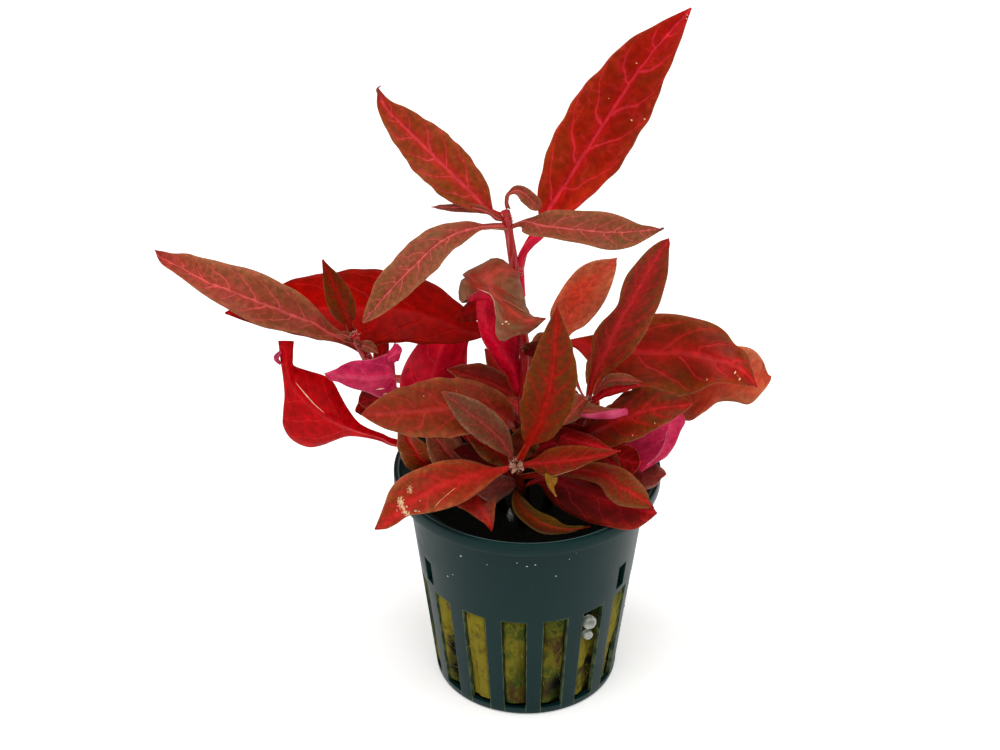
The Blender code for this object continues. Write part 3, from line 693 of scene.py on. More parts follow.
@dataclass(frozen=True)
class FloorFinish:
    """A plain pale floor, lit a little from below as a light table is."""

    name: str = "floor"
    pale: str = "fbfbfa"
    deep: str = "f6f5f3"
    glow: float = 0.33

    def material(self) -> bpy.types.Material:
        """The floor's material.

        Returns:
            The material.
        """
        shader = Shader(self.name)
        tone = shader.noise(shader.object_place(), 3.0, 2.0)
        colour = shader.mix(tone, srgb(self.pale), srgb(self.deep))
        shader.set(Base_Color=colour, Roughness=0.7, Metallic=0.0, Emission_Color=colour,
                   Emission_Strength=self.glow)
        return shader.material


class Route:
    """A smooth line through points that are given in millimetres."""

    steps: ClassVar[int] = 16
    glance: ClassVar[float] = 0.6 * MM

    def __init__(self, points: Sequence[Point], straight: int = 0) -> None:
        """Lays a Catmull-Rom line through the points.

        Args:
            points: The points that it passes.
            straight: How many of the first points are joined by straight runs.
        """
        knots = [Vector(point) * MM for point in points]
        self.points: list[Vector] = knots[:straight]
        bent = knots[straight:]
        bent = [bent[0] * 2 - bent[1]] + bent + [bent[-1] * 2 - bent[-2]]
        for first, second, third, fourth in zip(bent, bent[1:], bent[2:], bent[3:]):
            for index in range(self.steps):
                self.points.append(self.between(first, second, third, fourth, index / self.steps))
        self.points.append(bent[-2])
        self.marks = [0.0]
        for first, second in zip(self.points, self.points[1:]):
            self.marks.append(self.marks[-1] + (second - first).length)
        self.length = self.marks[-1]

    @staticmethod
    def between(first: Vector, second: Vector, third: Vector, fourth: Vector, t: float) -> Vector:
        """The point a share t of the way from second to third.

        Args:
            first, second, third, fourth: Four neighbouring points.
            t: The share.

        Returns:
            The point.
        """
        return 0.5 * (2 * second + (third - first) * t
                      + (2 * first - 5 * second + 4 * third - fourth) * t ** 2
                      + (3 * second - first - 3 * third + fourth) * t ** 3)

    def at(self, distance: float) -> Vector:
        """The point a distance along the line.

        Args:
            distance: Metres from the start.

        Returns:
            The point.
        """
        distance = min(max(distance, 0.0), self.length)
        for index in range(1, len(self.marks)):
            if self.marks[index] >= distance:
                span = self.marks[index] - self.marks[index - 1]
                share = (distance - self.marks[index - 1]) / span if span else 0.0
                return self.points[index - 1].lerp(self.points[index], share)
        return self.points[-1]

    def heading(self, distance: float) -> Vector:
        """The direction of the line a distance along it."""
        ahead = self.at(distance + self.glance) - self.at(distance - self.glance)
        return ahead.normalized()


def add_piece(name: str, mesh: bpy.types.Mesh, replaced: Iterable[str],
              materials: Sequence[bpy.types.Material] = ()) -> bpy.types.Object:
    """Puts a finished mesh into the scene as a piece of the plant.

    Args:
        name: The piece's name.
        mesh: Its mesh, in place.
        replaced: The solids that it stands for.
        materials: The finishes for its material slots.

    Returns:
        The new object.
    """
    piece = bpy.data.objects.new(name, mesh)
    bpy.context.scene.collection.objects.link(piece)
    for material in materials:
        mesh.materials.append(material)
    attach(piece, BODY)
    for node in replaced:
        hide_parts(node)
    log.info("built %s", name)
    return piece


def to_mesh(name: str, bm: bmesh.types.BMesh, smooth: bool = True) -> bpy.types.Mesh:
    """Turns a bmesh into a mesh and frees it.

    Args:
        name: The mesh's name.
        bm: The bmesh, which is freed.
        smooth: Whether its faces are shaded smooth.

    Returns:
        The new mesh.
    """
    mesh = bpy.data.meshes.new(name)
    bm.to_mesh(mesh)
    bm.free()
    if smooth:
        mesh.shade_smooth()
    return mesh


def tube_mesh(name: str, lines: Sequence[Sequence[tuple[Vector, float]]], depth: float,
              sides: int) -> bpy.types.Mesh:
    """Sweeps round tubes along lines.

    Args:
        name: The mesh's name.
        lines: For each tube, its points with their thickness as a share of the depth.
        depth: The radius at full thickness.
        sides: The bevel resolution, which gives the number of sides.

    Returns:
        One mesh with all the tubes, closed at their ends.
    """
    curve = bpy.data.curves.new(name, "CURVE")
    curve.dimensions = "3D"
    curve.bevel_depth = depth
    curve.bevel_resolution = sides
    curve.use_fill_caps = True
    for line in lines:
        spline = curve.splines.new("POLY")
        spline.points.add(len(line) - 1)
        for point, (place, share) in zip(spline.points, line):
            point.co = (*place, 1.0)
            point.radius = share
    carrier = bpy.data.objects.new(name, curve)
    mesh = bpy.data.meshes.new_from_object(carrier)
    mesh.name = name
    bpy.data.objects.remove(carrier)
    bpy.data.curves.remove(curve)
    mesh.shade_smooth()
    return mesh


@dataclass
class NetPot:
    """The tapered cup with its rim, wall slots, side holes and drain slots."""

    height: float = 50.5
    base_radius: float = 19.1
    shoulder_radius: float = 24.85
    rim_radius: float = 27.5
    rim_wall: float = 1.2
    rim_height: float = 2.8
    wall: float = 0.95
    floor: float = 1.2
    slot_low: float = 1.9
    slot_high: float = 27.0
    slot_angle: float = 13.3
    slot_phase: float = -7.2
    slot_count: int = 16
    slot_columns: int = 8
    bar_columns: int = 6
    hole_low: float = 28.5
    hole_high: float = 34.5
    hole_angle: float = 7.0
    hole_turns: tuple[float, ...] = (-62.2, 57.8, 177.8)
    drain_inner: float = 8.0
    drain_outer: float = 15.0
    drain_count: int = 8
    drain_half_angle: float = 9.0
    sharp_angle: float = 38.0
    bevel_width: float = 0.1
    bevel_angle: float = 50.0
    seed: int = 5
    specks: tuple[Point, ...] = (
        (-21.7, 47.3, 0.17), (-33.7, 42.5, 0.3), (-5.2, 43.9, 0.17), (-0.5, 43.0, 0.24),
        (3.5, 43.4, 0.2), (19.9, 43.8, 0.16), (13.6, 39.8, 0.2), (-44.1, 34.7, 0.2),
        (-19.8, 42.3, 0.1), (-40.3, 36.0, 0.14), (23.0, 45.1, 0.1), (96.0, 40.0, 0.2),
        (141.0, 36.5, 0.22), (-128.0, 43.0, 0.18), (-150.0, 33.0, 0.2))

    def radius(self, height: float) -> float:
        """The wall's outer radius at a height, in millimetres."""
        shoulder = self.height - self.rim_height
        return self.base_radius + (self.shoulder_radius - self.base_radius) * height / shoulder

    def profile(self) -> list[tuple[float, float]]:
        """The closed outline of the wall from the middle of the base, out, up and back inside.

        Returns:
            Pairs of reach and height in millimetres.
        """
        shoulder = self.height - self.rim_height
        rim = self.rim_radius
        inner = rim - self.rim_wall
        heights = [self.slot_low, 8.0, 14.5, 21.0, self.slot_high, self.hole_low, self.hole_high,
                   38.0, 43.0]
        outside = [(0.0, 0.0), (self.drain_inner, 0.0), (self.drain_outer, 0.0), (18.4, 0.0),
                   (18.75, 0.06), (19.02, 0.3), (self.radius(0.7), 0.7)]
        outside += [(self.radius(height), height) for height in heights]
        outside += [(self.shoulder_radius - 0.02, shoulder - 0.12),
                    (self.shoulder_radius + 0.1, shoulder), (rim - 0.4, shoulder),
                    (rim - 0.1, shoulder + 0.12), (rim, shoulder + 0.4), (rim, self.height - 0.45),
                    (rim - 0.12, self.height - 0.12), (rim - 0.42, self.height)]
        inside = [(inner + 0.36, self.height), (inner + 0.1, self.height - 0.1),
                  (inner, self.height - 0.4), (inner, shoulder + 1.3),
                  (inner - 0.25, shoulder + 1.05),
                  (self.shoulder_radius - self.wall + 0.2, shoulder + 0.95)]
        inside += [(self.radius(height) - self.wall, height) for height in reversed(heights)]
        inside += [(self.radius(self.floor) - self.wall - 0.3, self.floor),
                   (self.drain_outer, self.floor), (self.drain_inner, self.floor),
                   (0.0, self.floor)]
        return outside + inside

    def columns(self) -> list[float]:
        """The angles of the grid's columns, over each slot and the bar after it.

        Returns:
            Degrees from the front, once round.
        """
        pitch = 360 / self.slot_count
        turns = []
        for index in range(self.slot_count):
            start = self.slot_phase - self.slot_angle / 2 + pitch * index
            turns += [start + self.slot_angle * part / self.slot_columns
                      for part in range(self.slot_columns)]
            turns += [start + self.slot_angle + (pitch - self.slot_angle) * part / self.bar_columns
                      for part in range(self.bar_columns)]
        turns.append(turns[0] + 360)
        return turns

    def opening_of(self, turn: float, reach: float, height: float) -> Optional[str]:
        """Names the opening that a place on the wall or floor lies in.

        Args:
            turn: Degrees from the front.
            reach: Millimetres from the axis.
            height: Millimetres above the ground.

        Returns:
            A name for the opening, or None on solid plastic.
        """
        pitch = 360 / self.slot_count
        index = round((turn - self.slot_phase) / pitch)
        off = abs(turn - self.slot_phase - index * pitch)
        if self.slot_low < height < self.slot_high and off < self.slot_angle / 2:
            return f"slot{index % self.slot_count}"
        if self.hole_low < height < self.hole_high:
            for number, hole in enumerate(self.hole_turns):
                if abs((turn - hole + 180) % 360 - 180) < self.hole_angle / 2:
                    return f"hole{number}"
        if height <= self.floor and self.drain_inner < reach < self.drain_outer:
            step = 360 / self.drain_count
            index = round((turn - self.slot_phase) / step)
            if abs(turn - self.slot_phase - index * step) < self.drain_half_angle:
                return f"drain{index % self.drain_count}"
        return None

    def mesh(self) -> bpy.types.Mesh:
        """Wraps a grid round the axis, opens the slots and joins their outer and inner edges.

        Returns:
            The pot's mesh.
        """
        outline = self.profile()
        turns = self.columns()
        bm = bmesh.new()
        bmesh.ops.create_grid(bm, x_segments=len(turns) - 1, y_segments=len(outline) - 1, size=1.0)
        places = {}
        for vert in bm.verts:
            column = round((vert.co.x + 1) / 2 * (len(turns) - 1))
            row = round((vert.co.y + 1) / 2 * (len(outline) - 1))
            reach, height = outline[row]
            turn = turns[column]
            if height in (self.hole_low, self.hole_high):
                turn = self.fitted(turn, turns)
            places[vert.index] = (turn, reach, height)
            vert.co = around(math.radians(turn), reach, height)
        gone: dict[str, list[bmesh.types.BMFace]] = {}
        for face in bm.faces:
            spots = [places[vert.index] for vert in face.verts]
            turn, reach, height = (sum(spot[axis] for spot in spots) / 4 for axis in range(3))
            name = self.opening_of(turn, reach, height)
            if name:
                gone.setdefault(name, []).append(face)
        rims: dict[str, list[bmesh.types.BMEdge]] = {}
        for name, faces in gone.items():
            inside = set(faces)
            rims[name] = [edge for face in faces for edge in face.edges
                          if any(other not in inside for other in edge.link_faces)]
        bmesh.ops.delete(bm, geom=[face for faces in gone.values() for face in faces],
                         context="FACES_ONLY")
        for edges in rims.values():
            bmesh.ops.bridge_loops(bm, edges=edges)
        bmesh.ops.delete(bm, geom=[edge for edge in bm.edges if not edge.link_faces],
                         context="EDGES")
        bmesh.ops.delete(bm, geom=[vert for vert in bm.verts if not vert.link_faces],
                         context="VERTS")
        bmesh.ops.remove_doubles(bm, verts=bm.verts, dist=0.001 * MM)
        bmesh.ops.recalc_face_normals(bm, faces=bm.faces)
        mesh = to_mesh("net_pot", bm)
        mesh.set_sharp_from_angle(angle=math.radians(self.sharp_angle))
        return mesh

    def fitted(self, turn: float, turns: Sequence[float]) -> float:
        """Moves a column onto a side hole's edge where it is the nearest one to it.

        Args:
            turn: The column's angle.
            turns: All the columns' angles.

        Returns:
            The angle, moved where it has to be.
        """
        for hole in self.hole_turns:
            for edge in (hole - self.hole_angle / 2, hole + self.hole_angle / 2):
                near = min(turns, key=lambda other: abs((other - edge + 180) % 360 - 180))
                if near == turn:
                    return turn + ((edge - turn + 180) % 360 - 180)
        return turn

    def lime(self) -> bpy.types.Mesh:
        """Small flat flecks of lime on the wall, by angle, height and size.

        Returns:
            One mesh with all the flecks.
        """
        bm = bmesh.new()
        chance = random.Random(self.seed)
        for turn, height, size in self.specks:
            angle = math.radians(turn)
            reach = self.radius(height) + 0.03
            made = bmesh.ops.create_icosphere(bm, subdivisions=2, radius=size * MM)
            for vert in made["verts"]:
                lump = 0.75 + 0.5 * noise.noise(vert.co * 2600 + Vector((turn, height, 0)))
                vert.co = Vector((vert.co.x * lump * chance.uniform(0.9, 1.1), vert.co.y * 0.22,
                                  vert.co.z * lump * 0.7))
            bmesh.ops.rotate(bm, verts=made["verts"], cent=(0, 0, 0),
                             matrix=Matrix.Rotation(angle, 3, "Z"))
            bmesh.ops.translate(bm, verts=made["verts"], vec=around(angle, reach, height))
        return to_mesh("lime_specks", bm)

    def build(self) -> None:
        """Makes the pot and the flecks on it."""
        pot = add_piece("net_pot", self.mesh(), ["pot"], [PotFinish().material()])
        bevel = pot.modifiers.new("Soft edges", "BEVEL")
        bevel.width = self.bevel_width * MM
        bevel.segments = 2
        bevel.limit_method = "ANGLE"
        bevel.angle_limit = math.radians(self.bevel_angle)
        add_piece("lime_specks", self.lime(), [],
                  [StrandFinish("lime", "f0efe8", "d8d6cc", 900.0, 0.8).material()])


@dataclass
class WoolPlug:
    """The rockwool plug, its loose fibres and the granules caught in a slot."""

    low: float = 1.3
    high: float = 38.5
    base_radius: float = 18.0
    snug_height: float = 29.0
    top_radius: float = 21.8
    taper: float = 0.1205
    slot_pitch: float = 22.5
    slot_phase: float = -7.2
    edge: float = 1.2
    columns: int = 432
    rows: int = 90
    deepest: float = 3.4
    proudest: float = 1.0
    fibre_count: int = 700
    fibre_radius: float = 0.04
    seed: int = 11
    # Its "dark" entries are painted shade: they lie over the hollows and on the slots' shaded
    # sides.
    stains: tuple[tuple[float, float, float, str, float], ...] = (
        (-29.7, 14.0, 9.0, "yellow", 1.1), (-31.0, 6.0, 5.0, "yellow", 0.9),
        (-29.7, 23.0, 5.0, "yellow", 0.8),
        (-28.0, 20.0, 4.0, "brown", 0.3), (-8.2, 17.0, 8.0, "yellow", 0.3),
        (-9.0, 8.0, 4.0, "brown", 0.35), (-5.0, 5.0, 3.0, "brown", 0.4),
        (-1.6, 12.0, 9.0, "dark", 0.3), (13.5, 18.0, 7.0, "yellow", 0.35),
        (17.0, 18.0, 5.0, "brown", 0.6), (12.0, 6.0, 4.0, "brown", 0.5),
        (20.6, 7.0, 5.0, "dark", 0.55), (10.0, 22.0, 5.0, "dark", 0.3),
        (37.8, 23.5, 4.0, "dark", 1.1), (35.4, 10.0, 7.0, "yellow", 1.0),
        (43.4, 8.0, 7.0, "dark", 0.5), (60.3, 14.0, 9.0, "yellow", 0.9),
        (58.0, 20.0, 4.0, "brown", 0.35), (64.0, 6.0, 4.0, "dark", 0.6),
        (-47.5, 10.0, 8.0, "dark", 0.7), (-53.5, 18.0, 9.0, "yellow", 1.2),
        (-74.7, 14.0, 9.0, "dark", 0.7), (-78.0, 8.0, 6.0, "yellow", 0.7),
        (82.8, 14.0, 9.0, "dark", 0.4), (105.3, 12.0, 7.0, "yellow", 0.6),
        (150.3, 12.0, 7.0, "yellow", 0.7), (-119.7, 12.0, 7.0, "yellow", 0.6),
        (-164.7, 14.0, 6.0, "brown", 0.5), (127.8, 18.0, 5.0, "dark", 0.6))
    hollows: tuple[tuple[float, float, float, float, float], ...] = (
        (38.2, 22.5, 4.6, 6.0, 3.0), (42.5, 8.0, 1.6, 9.0, 1.6), (20.6, 6.0, 1.5, 6.0, 1.4),
        (-2.2, 12.0, 0.9, 10.0, 0.9), (-48.0, 12.0, 1.4, 12.0, 1.8), (-70.4, 14.0, 1.6, 10.0, 2.0),
        (10.2, 23.0, 1.3, 4.0, 1.0), (-33.6, 8.0, 0.8, 8.0, 0.8), (65.0, 6.0, 1.2, 6.0, 1.4))
    granules: tuple[tuple[str, float, float, float], ...] = (
        ("granule_upper", 3.0, 23.4, 36.4), ("granule_lower", 2.2, 20.3, 35.4))
    granule_reach: float = 21.5
    drop_place: Point = (-3.4, -18.8, 51.7)

    def radius(self, height: float) -> float:
        """The plug's radius at a height, in millimetres."""
        snug = self.base_radius + self.taper * min(height, self.snug_height)
        return snug + (self.top_radius - snug) * smooth_step(self.snug_height, self.high, height)

    def swell(self, turn: float, height: float) -> float:
        """How far the wool bulges into a slot, or is hollow there, in millimetres.

        Args:
            turn: Degrees from the front.
            height: Millimetres above the ground.

        Returns:
            The bulge, below 0 in a hollow.
        """
        step = (turn - self.slot_phase) / self.slot_pitch
        off = abs(step - round(step)) * self.slot_pitch
        bulge = 0.85 * smooth_step(6.75, 5.5, off) * smooth_step(28.0, 25.0, height) \
            * smooth_step(0.8, 3.0, height)
        for where, level, wide, tall, depth in self.hollows:
            across = math.radians((turn - where + 180) % 360 - 180) * self.radius(height)
            bulge -= depth * hump(across, 0.0, wide) * hump(height, level, tall)
        return bulge

    def stain_at(self, place: Vector) -> Vector:
        """How yellow and brown the wool is at a place in metres, and how dark, mostly as painted
        shade.

        Args:
            place: The place.

        Returns:
            Yellow, dark (mostly painted shade) and brown, each from 0 up.
        """
        turn = math.degrees(math.atan2(place.x, -place.y))
        height = place.z / MM
        reach = math.hypot(place.x, place.y) / MM
        amount = {"yellow": 0.22, "dark": 0.1, "brown": 0.14}
        for angle, level, size, kind, strength in self.stains:
            across = (turn - angle) * math.pi / 180 * reach
            amount[kind] += strength * hump(across, 0.0, min(size, 3.4)) * hump(height, level, size)
        # Painted shade: the top of the plug, down inside the pot, goes nearly black.
        if height > self.high - 4:
            amount["dark"] += 0.85
        return Vector((amount["yellow"], amount["dark"], amount["brown"]))

    def mesh(self) -> bpy.types.Mesh:
        """A tapered plug with a lumpy skin, coloured by its stains and its painted shade.

        Returns:
            The plug's mesh.
        """
        bm = bmesh.new()
        bmesh.ops.create_grid(bm, x_segments=self.columns, y_segments=self.rows, size=1.0)
        stain = bm.verts.layers.float_vector.new("stain")
        side = self.high - self.low
        total = self.base_radius + side + self.top_radius
        for vert in bm.verts:
            turn = vert.co.x * math.pi
            way = (vert.co.y + 1) / 2 * total
            if way < self.base_radius:
                reach, height = way, self.low
            elif way < self.base_radius + side:
                height = self.low + way - self.base_radius
                reach = self.radius(height)
            else:
                height = self.high
                reach = max(0.0, self.top_radius - (way - self.base_radius - side))
            if height < self.low + self.edge:
                reach = min(reach, self.base_radius - 0.5)
            if height > self.high - self.edge:
                reach = min(reach, self.top_radius - 0.5)
            place = around(turn, reach, height)
            out = Vector((math.sin(turn), -math.cos(turn), 0.0))
            if way > self.base_radius + side:
                out = Vector((0, 0, 1))
            elif way < self.base_radius:
                out = Vector((0, 0, 0))
            lump = noise.fractal(place * 240, 0.9, 2.1, 4) * 0.3 + noise.noise(place * 900) * 0.12
            if self.low < height < self.high and out.z == 0:
                lump = min(lump, 0.0) * 0.6 + self.swell(math.degrees(turn), height)
                lump += 0.12 * noise.noise(place * 700) - 0.1
            vert[stain] = self.stain_at(place)
            vert.co = place + out * max(-self.deepest, min(self.proudest, lump)) * MM
        bmesh.ops.remove_doubles(bm, verts=bm.verts, dist=0.002 * MM)
        bmesh.ops.recalc_face_normals(bm, faces=bm.faces)
        return to_mesh("rockwool", bm)

    def fibres(self) -> bpy.types.Mesh:
        """Loose fibres that lie on the plug's side and stand out a little into the slots.

        Returns:
            One mesh with all the fibres.
        """
        chance = random.Random(self.seed)
        lines = []
        for _ in range(self.fibre_count):
            turn = math.radians(chance.uniform(-180, 180))
            height = chance.uniform(self.low + 1, self.high - 1)
            lean = chance.gauss(0, 0.9)
            length = chance.uniform(2.0, 5.5)
            lift = chance.uniform(0.1, 0.35)
            line = []
            for step in range(6):
                share = step / 5
                level = height + length * share * math.cos(lean)
                level = min(self.high - 0.4, max(self.low + 0.4, level))
                angle = turn + length * share * math.sin(lean) / self.radius(level)
                out = self.radius(level) + self.swell(math.degrees(angle), level) - 0.1
                out += lift * math.sin(math.pi * share) + 0.08 * math.sin(9 * share + turn * 5)
                line.append((around(angle, out, level), 0.5 + 0.5 * math.sin(math.pi * share)))
            lines.append(line)
        return tube_mesh("rockwool_fibres", lines, self.fibre_radius * MM, 0)

    def granule(self, look: bpy.types.Material, name: str, diameter: float, height: float,
                turn: float) -> None:
        """Makes one granule, a little out of round.

        Args:
            look: Its finish.
            name: Its solid's name.
            diameter: Its size in millimetres.
            height: Its middle's height.
            turn: Degrees from the front.
        """
        bm = bmesh.new()
        bmesh.ops.create_uvsphere(bm, u_segments=32, v_segments=20, radius=diameter / 2 * MM)
        for vert in bm.verts:
            vert.co *= 1 + 0.035 * noise.noise(vert.co * 900 + Vector((height, 0, 0)))
        bmesh.ops.translate(bm, verts=bm.verts,
                            vec=around(math.radians(turn), self.granule_reach, height))
        add_piece(f"milky_{name}", to_mesh(name, bm), [name], [look])

    def droplet(self, look: bpy.types.Material) -> None:
        """Makes the drop of water that hangs at the leaf in the pot's mouth.

        Args:
            look: Its finish.
        """
        bm = bmesh.new()
        bmesh.ops.create_uvsphere(bm, u_segments=28, v_segments=20, radius=1.0)
        for vert in bm.verts:
            rise = (vert.co.z + 1) / 2
            slim = 1.15 - 0.75 * rise ** 1.5
            vert.co = Vector((vert.co.x * 0.75 * slim - 0.3 * rise, vert.co.y * 0.6 * slim,
                              vert.co.z * 1.7)) * MM
        bmesh.ops.translate(bm, verts=bm.verts, vec=Vector(self.drop_place) * MM)
        add_piece("water_drop", to_mesh("water_drop", bm), [], [look])

    def build(self) -> None:
        """Makes the plug, its fibres and the granules."""
        add_piece("rockwool", self.mesh(), ["rockwool_plug"], [WoolFinish().material()])
        add_piece("rockwool_fibres", self.fibres(), [],
                  [StrandFinish("rockwool_fibre", "9a8c38", "3c3c0a", 500.0, 0.8).material()])
        look = GranuleFinish().material()
        for entry in self.granules:
            self.granule(look, *entry)
        self.droplet(GranuleFinish("water", "343c34", "78827a").material())


@dataclass
class Stem:
    """One cutting's stem: its line, its nodes by height, and its finish."""

    name: str
    points: list[Point]
    nodes: tuple[float, ...]
    finish: StemFinish
    radius: float = 1.1
    swell: float = 0.16
    pinch: float = 0.05
    thinning: float = 0.16
    step: ClassVar[float] = 0.8

    def mesh(self) -> bpy.types.Mesh:
        """A tube that swells at each node and thins towards the tip.

        Returns:
            The stem's mesh.
        """
        axis = Route(self.points, straight=1)
        count = max(24, round(axis.length / (self.step * MM)))
        line = []
        for index in range(count + 1):
            place = axis.at(axis.length * index / count)
            high = place.z / MM
            bulge = sum(hump(high, node, 1.5) for node in self.nodes)
            pinch = sum(hump(high, node - 3.2, 1.6) for node in self.nodes)
            thin = 1 - self.thinning * index / count
            wobble = 0.03 * noise.noise(place * 160)
            knot = 1 + self.swell * bulge - self.pinch * pinch
            line.append((place, thin * knot + wobble))
        return tube_mesh(self.name, [line], self.radius * MM, 6)

    def build(self) -> None:
        """Makes the stem."""
        add_piece(self.name.replace("stem_", "stalk_"), self.mesh(), [self.name],
                  [bpy.data.materials.get(self.finish.name) or self.finish.material()])


CRIMSON_STEM = StemFinish("stem_crimson", "a00a10", "cc706c", "b4141c")
BROWN_STEM = StemFinish("stem_brown", "74140c", "a85a40", "4a0e06")


def stems() -> list[Stem]:
    """The six cuttings' stems.

    Returns:
        The stems, from the tallest to the ones behind.
    """
    return [
        Stem("stem_tall", [(0.6, 5.7, 27), (-0.3, 4.5, 39), (-0.8, 3, 52), (-1.1, 2, 66.7),
                           (-0.8, 1, 79.3), (-2.7, 0, 96.9), (-4.2, 0, 108.1), (-4.6, 0, 110.4)],
             (66.7, 79.3, 96.9, 108.4), CRIMSON_STEM),
        Stem("stem_left", [(-3, 1.5, 27), (-5, 1, 39), (-8.6, 0.5, 52), (-15.8, 0, 61.9),
                           (-28.7, -2, 71.7), (-32.1, -3, 79), (-34.6, -4, 85)],
             (52.0, 71.7, 79.2), CRIMSON_STEM),
        Stem("stem_front", [(-0.4, -2, 27), (-1, -4.3, 39), (-1.5, -8, 50), (-2.2, -12, 59)],
             (50.0, 58.4), BROWN_STEM),
        Stem("stem_right", [(3.6, 1.6, 27), (4.2, 1.5, 39), (6.2, 1, 50), (9.7, -1, 60),
                            (12.4, -4, 69.7)], (57.0, 68.8), BROWN_STEM),
        Stem("stem_back_left", [(-5, 7, 27), (-7.5, 8, 39), (-12, 7.5, 47), (-16, 6.5, 54)],
             (49.0,), BROWN_STEM),
        Stem("stem_back_right", [(5.6, 6.6, 27), (8, 8, 39), (11, 7.8, 50), (14, 6.8, 60)],
             (49.0,), BROWN_STEM),
    ]


# Ways that a leaf's upper side looks
FRONT: Point = (0.0, -0.84, 0.54)
UP_FRONT: Point = (0.0, -0.58, 0.81)
UP_BACK: Point = (0.0, 0.45, 0.89)


@dataclass
class Blade:
    """What every leaf has: a skin with an upper side and an underside, veins and marks.

    A scar, blush or shade is a share along, a share across, a length, a breadth and a strength.
    A shade mark lifts or lowers the colour: partly the leaf's own paler and darker patches,
    partly painted shadow and highlight.
    A speck is a share along, a share across and a size.
    """

    name: str
    slot: str
    upper: Upper
    _: KW_ONLY
    under: Under = Under.CLARET
    # A factor on the colour: partly the leaf's own tone, partly painted light and shade for how
    # brightly it is lit.
    light: float = 1.0
    wave: float = 0.35
    stalk: float = 0.12
    thickness: float = 0.75
    scars: tuple[Mark, ...] = ()
    blushes: tuple[Mark, ...] = ()
    shades: tuple[Mark, ...] = ()
    specks: tuple[Point, ...] = ()
    length: float = field(init=False)
    breadth: float = field(init=False)
    row_pitch: ClassVar[float] = 0.7
    wide_columns: ClassVar[int] = 18
    slim_columns: ClassVar[int] = 10
    slim_breadth: ClassVar[float] = 6.0
    fewest_rows: ClassVar[int] = 24
    rib_reach: ClassVar[float] = 0.5
    groove: ClassVar[float] = 0.16

    def skin_point(self, share: float, side: float) -> tuple[Vector, float]:
        """A point of the skin, and how far it lies from the midrib in metres."""
        raise NotImplementedError

    @property
    def phase(self) -> float:
        """A number of the leaf's own, which varies its veins and waves."""
        letters = enumerate(f"leaf_{self.name}", 1)
        return sum(ord(letter) * place for place, letter in letters) % 97 / 10

    def tone_at(self, share: float, side: float) -> Vector:
        """How much painted light and shade, scar and blush the blade has at a place.

        Args:
            share: The share along.
            side: The share across, from -1 to 1.

        Returns:
            Painted light and shade, scar and blush.
        """
        scars, blushes, shades = (
            [strength * hump(share, where, length) * hump(side, across, breadth)
             for where, across, length, breadth, strength in marks]
            for marks in (self.scars, self.blushes, self.shades))
        # Painted light and shade: the leaf's light factor, raised and lowered by its shade marks.
        light = self.light
        for shade in shades:
            light *= 1 + shade
        blush = sum(blushes, 0.45 * hump(side, 0, 0.4) * (1 - share))
        return Vector((max(0.0, light), min(1.0, sum(scars)), min(1.0, blush)))

    def mesh(self) -> bpy.types.Mesh:
        """A fine grid laid on the skin, with the places that its veins follow.

        Returns:
            The leaf's mesh, before its thickness.
        """
        rows = max(self.fewest_rows, round(self.length / (self.row_pitch * MM)))
        columns = self.wide_columns if self.breadth > self.slim_breadth else self.slim_columns
        bm = bmesh.new()
        bmesh.ops.create_grid(bm, x_segments=rows, y_segments=columns, size=1.0)
        vein_place = bm.verts.layers.float_vector.new("vein_place")
        tone = bm.verts.layers.float_vector.new("tone")
        way = bm.verts.layers.float.new("share")
        weight = bm.verts.layers.deform.verify()
        scale = 10 / min(14.0, max(self.slim_breadth, self.breadth))
        for vert in bm.verts:
            share = (vert.co.x + 1) / 2
            side = math.copysign(abs(vert.co.y) ** 1.2, vert.co.y)
            place, across = self.skin_point(share, side)
            vert[vein_place] = (share * self.length / MM * scale + self.phase * 3,
                                across / MM * scale, side)
            vert[tone] = self.tone_at(share, side)
            vert[way] = share
            rib = hump(across, 0.0, self.rib_reach * MM) * (1 - 0.6 * share)
            foot = 1 - smooth_step(0.0, self.stalk + 0.05, share)
            vert[weight][0] = 0.3 + 0.7 * max(rib, foot) * (1 - smooth_step(0.85, 1.0, share)) \
                - 0.12 * abs(side) ** 4
            vert.co = place
        return to_mesh(f"leaf_{self.name}", bm)

    def build(self) -> None:
        """Makes the leaf, over its solid where it has one."""
        node = f"leaf_{self.name}"
        replaced = [node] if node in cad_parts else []
        piece = add_piece(f"blade_{self.name}", self.mesh(), replaced,
                          [self.upper.value.material(), self.under.value.material()])
        piece.vertex_groups.new(name="thick")
        solid = piece.modifiers.new("Thickness", "SOLIDIFY")
        solid.thickness = self.thickness * MM
        solid.offset = -1.0
        solid.material_offset = 1
        solid.vertex_group = "thick"


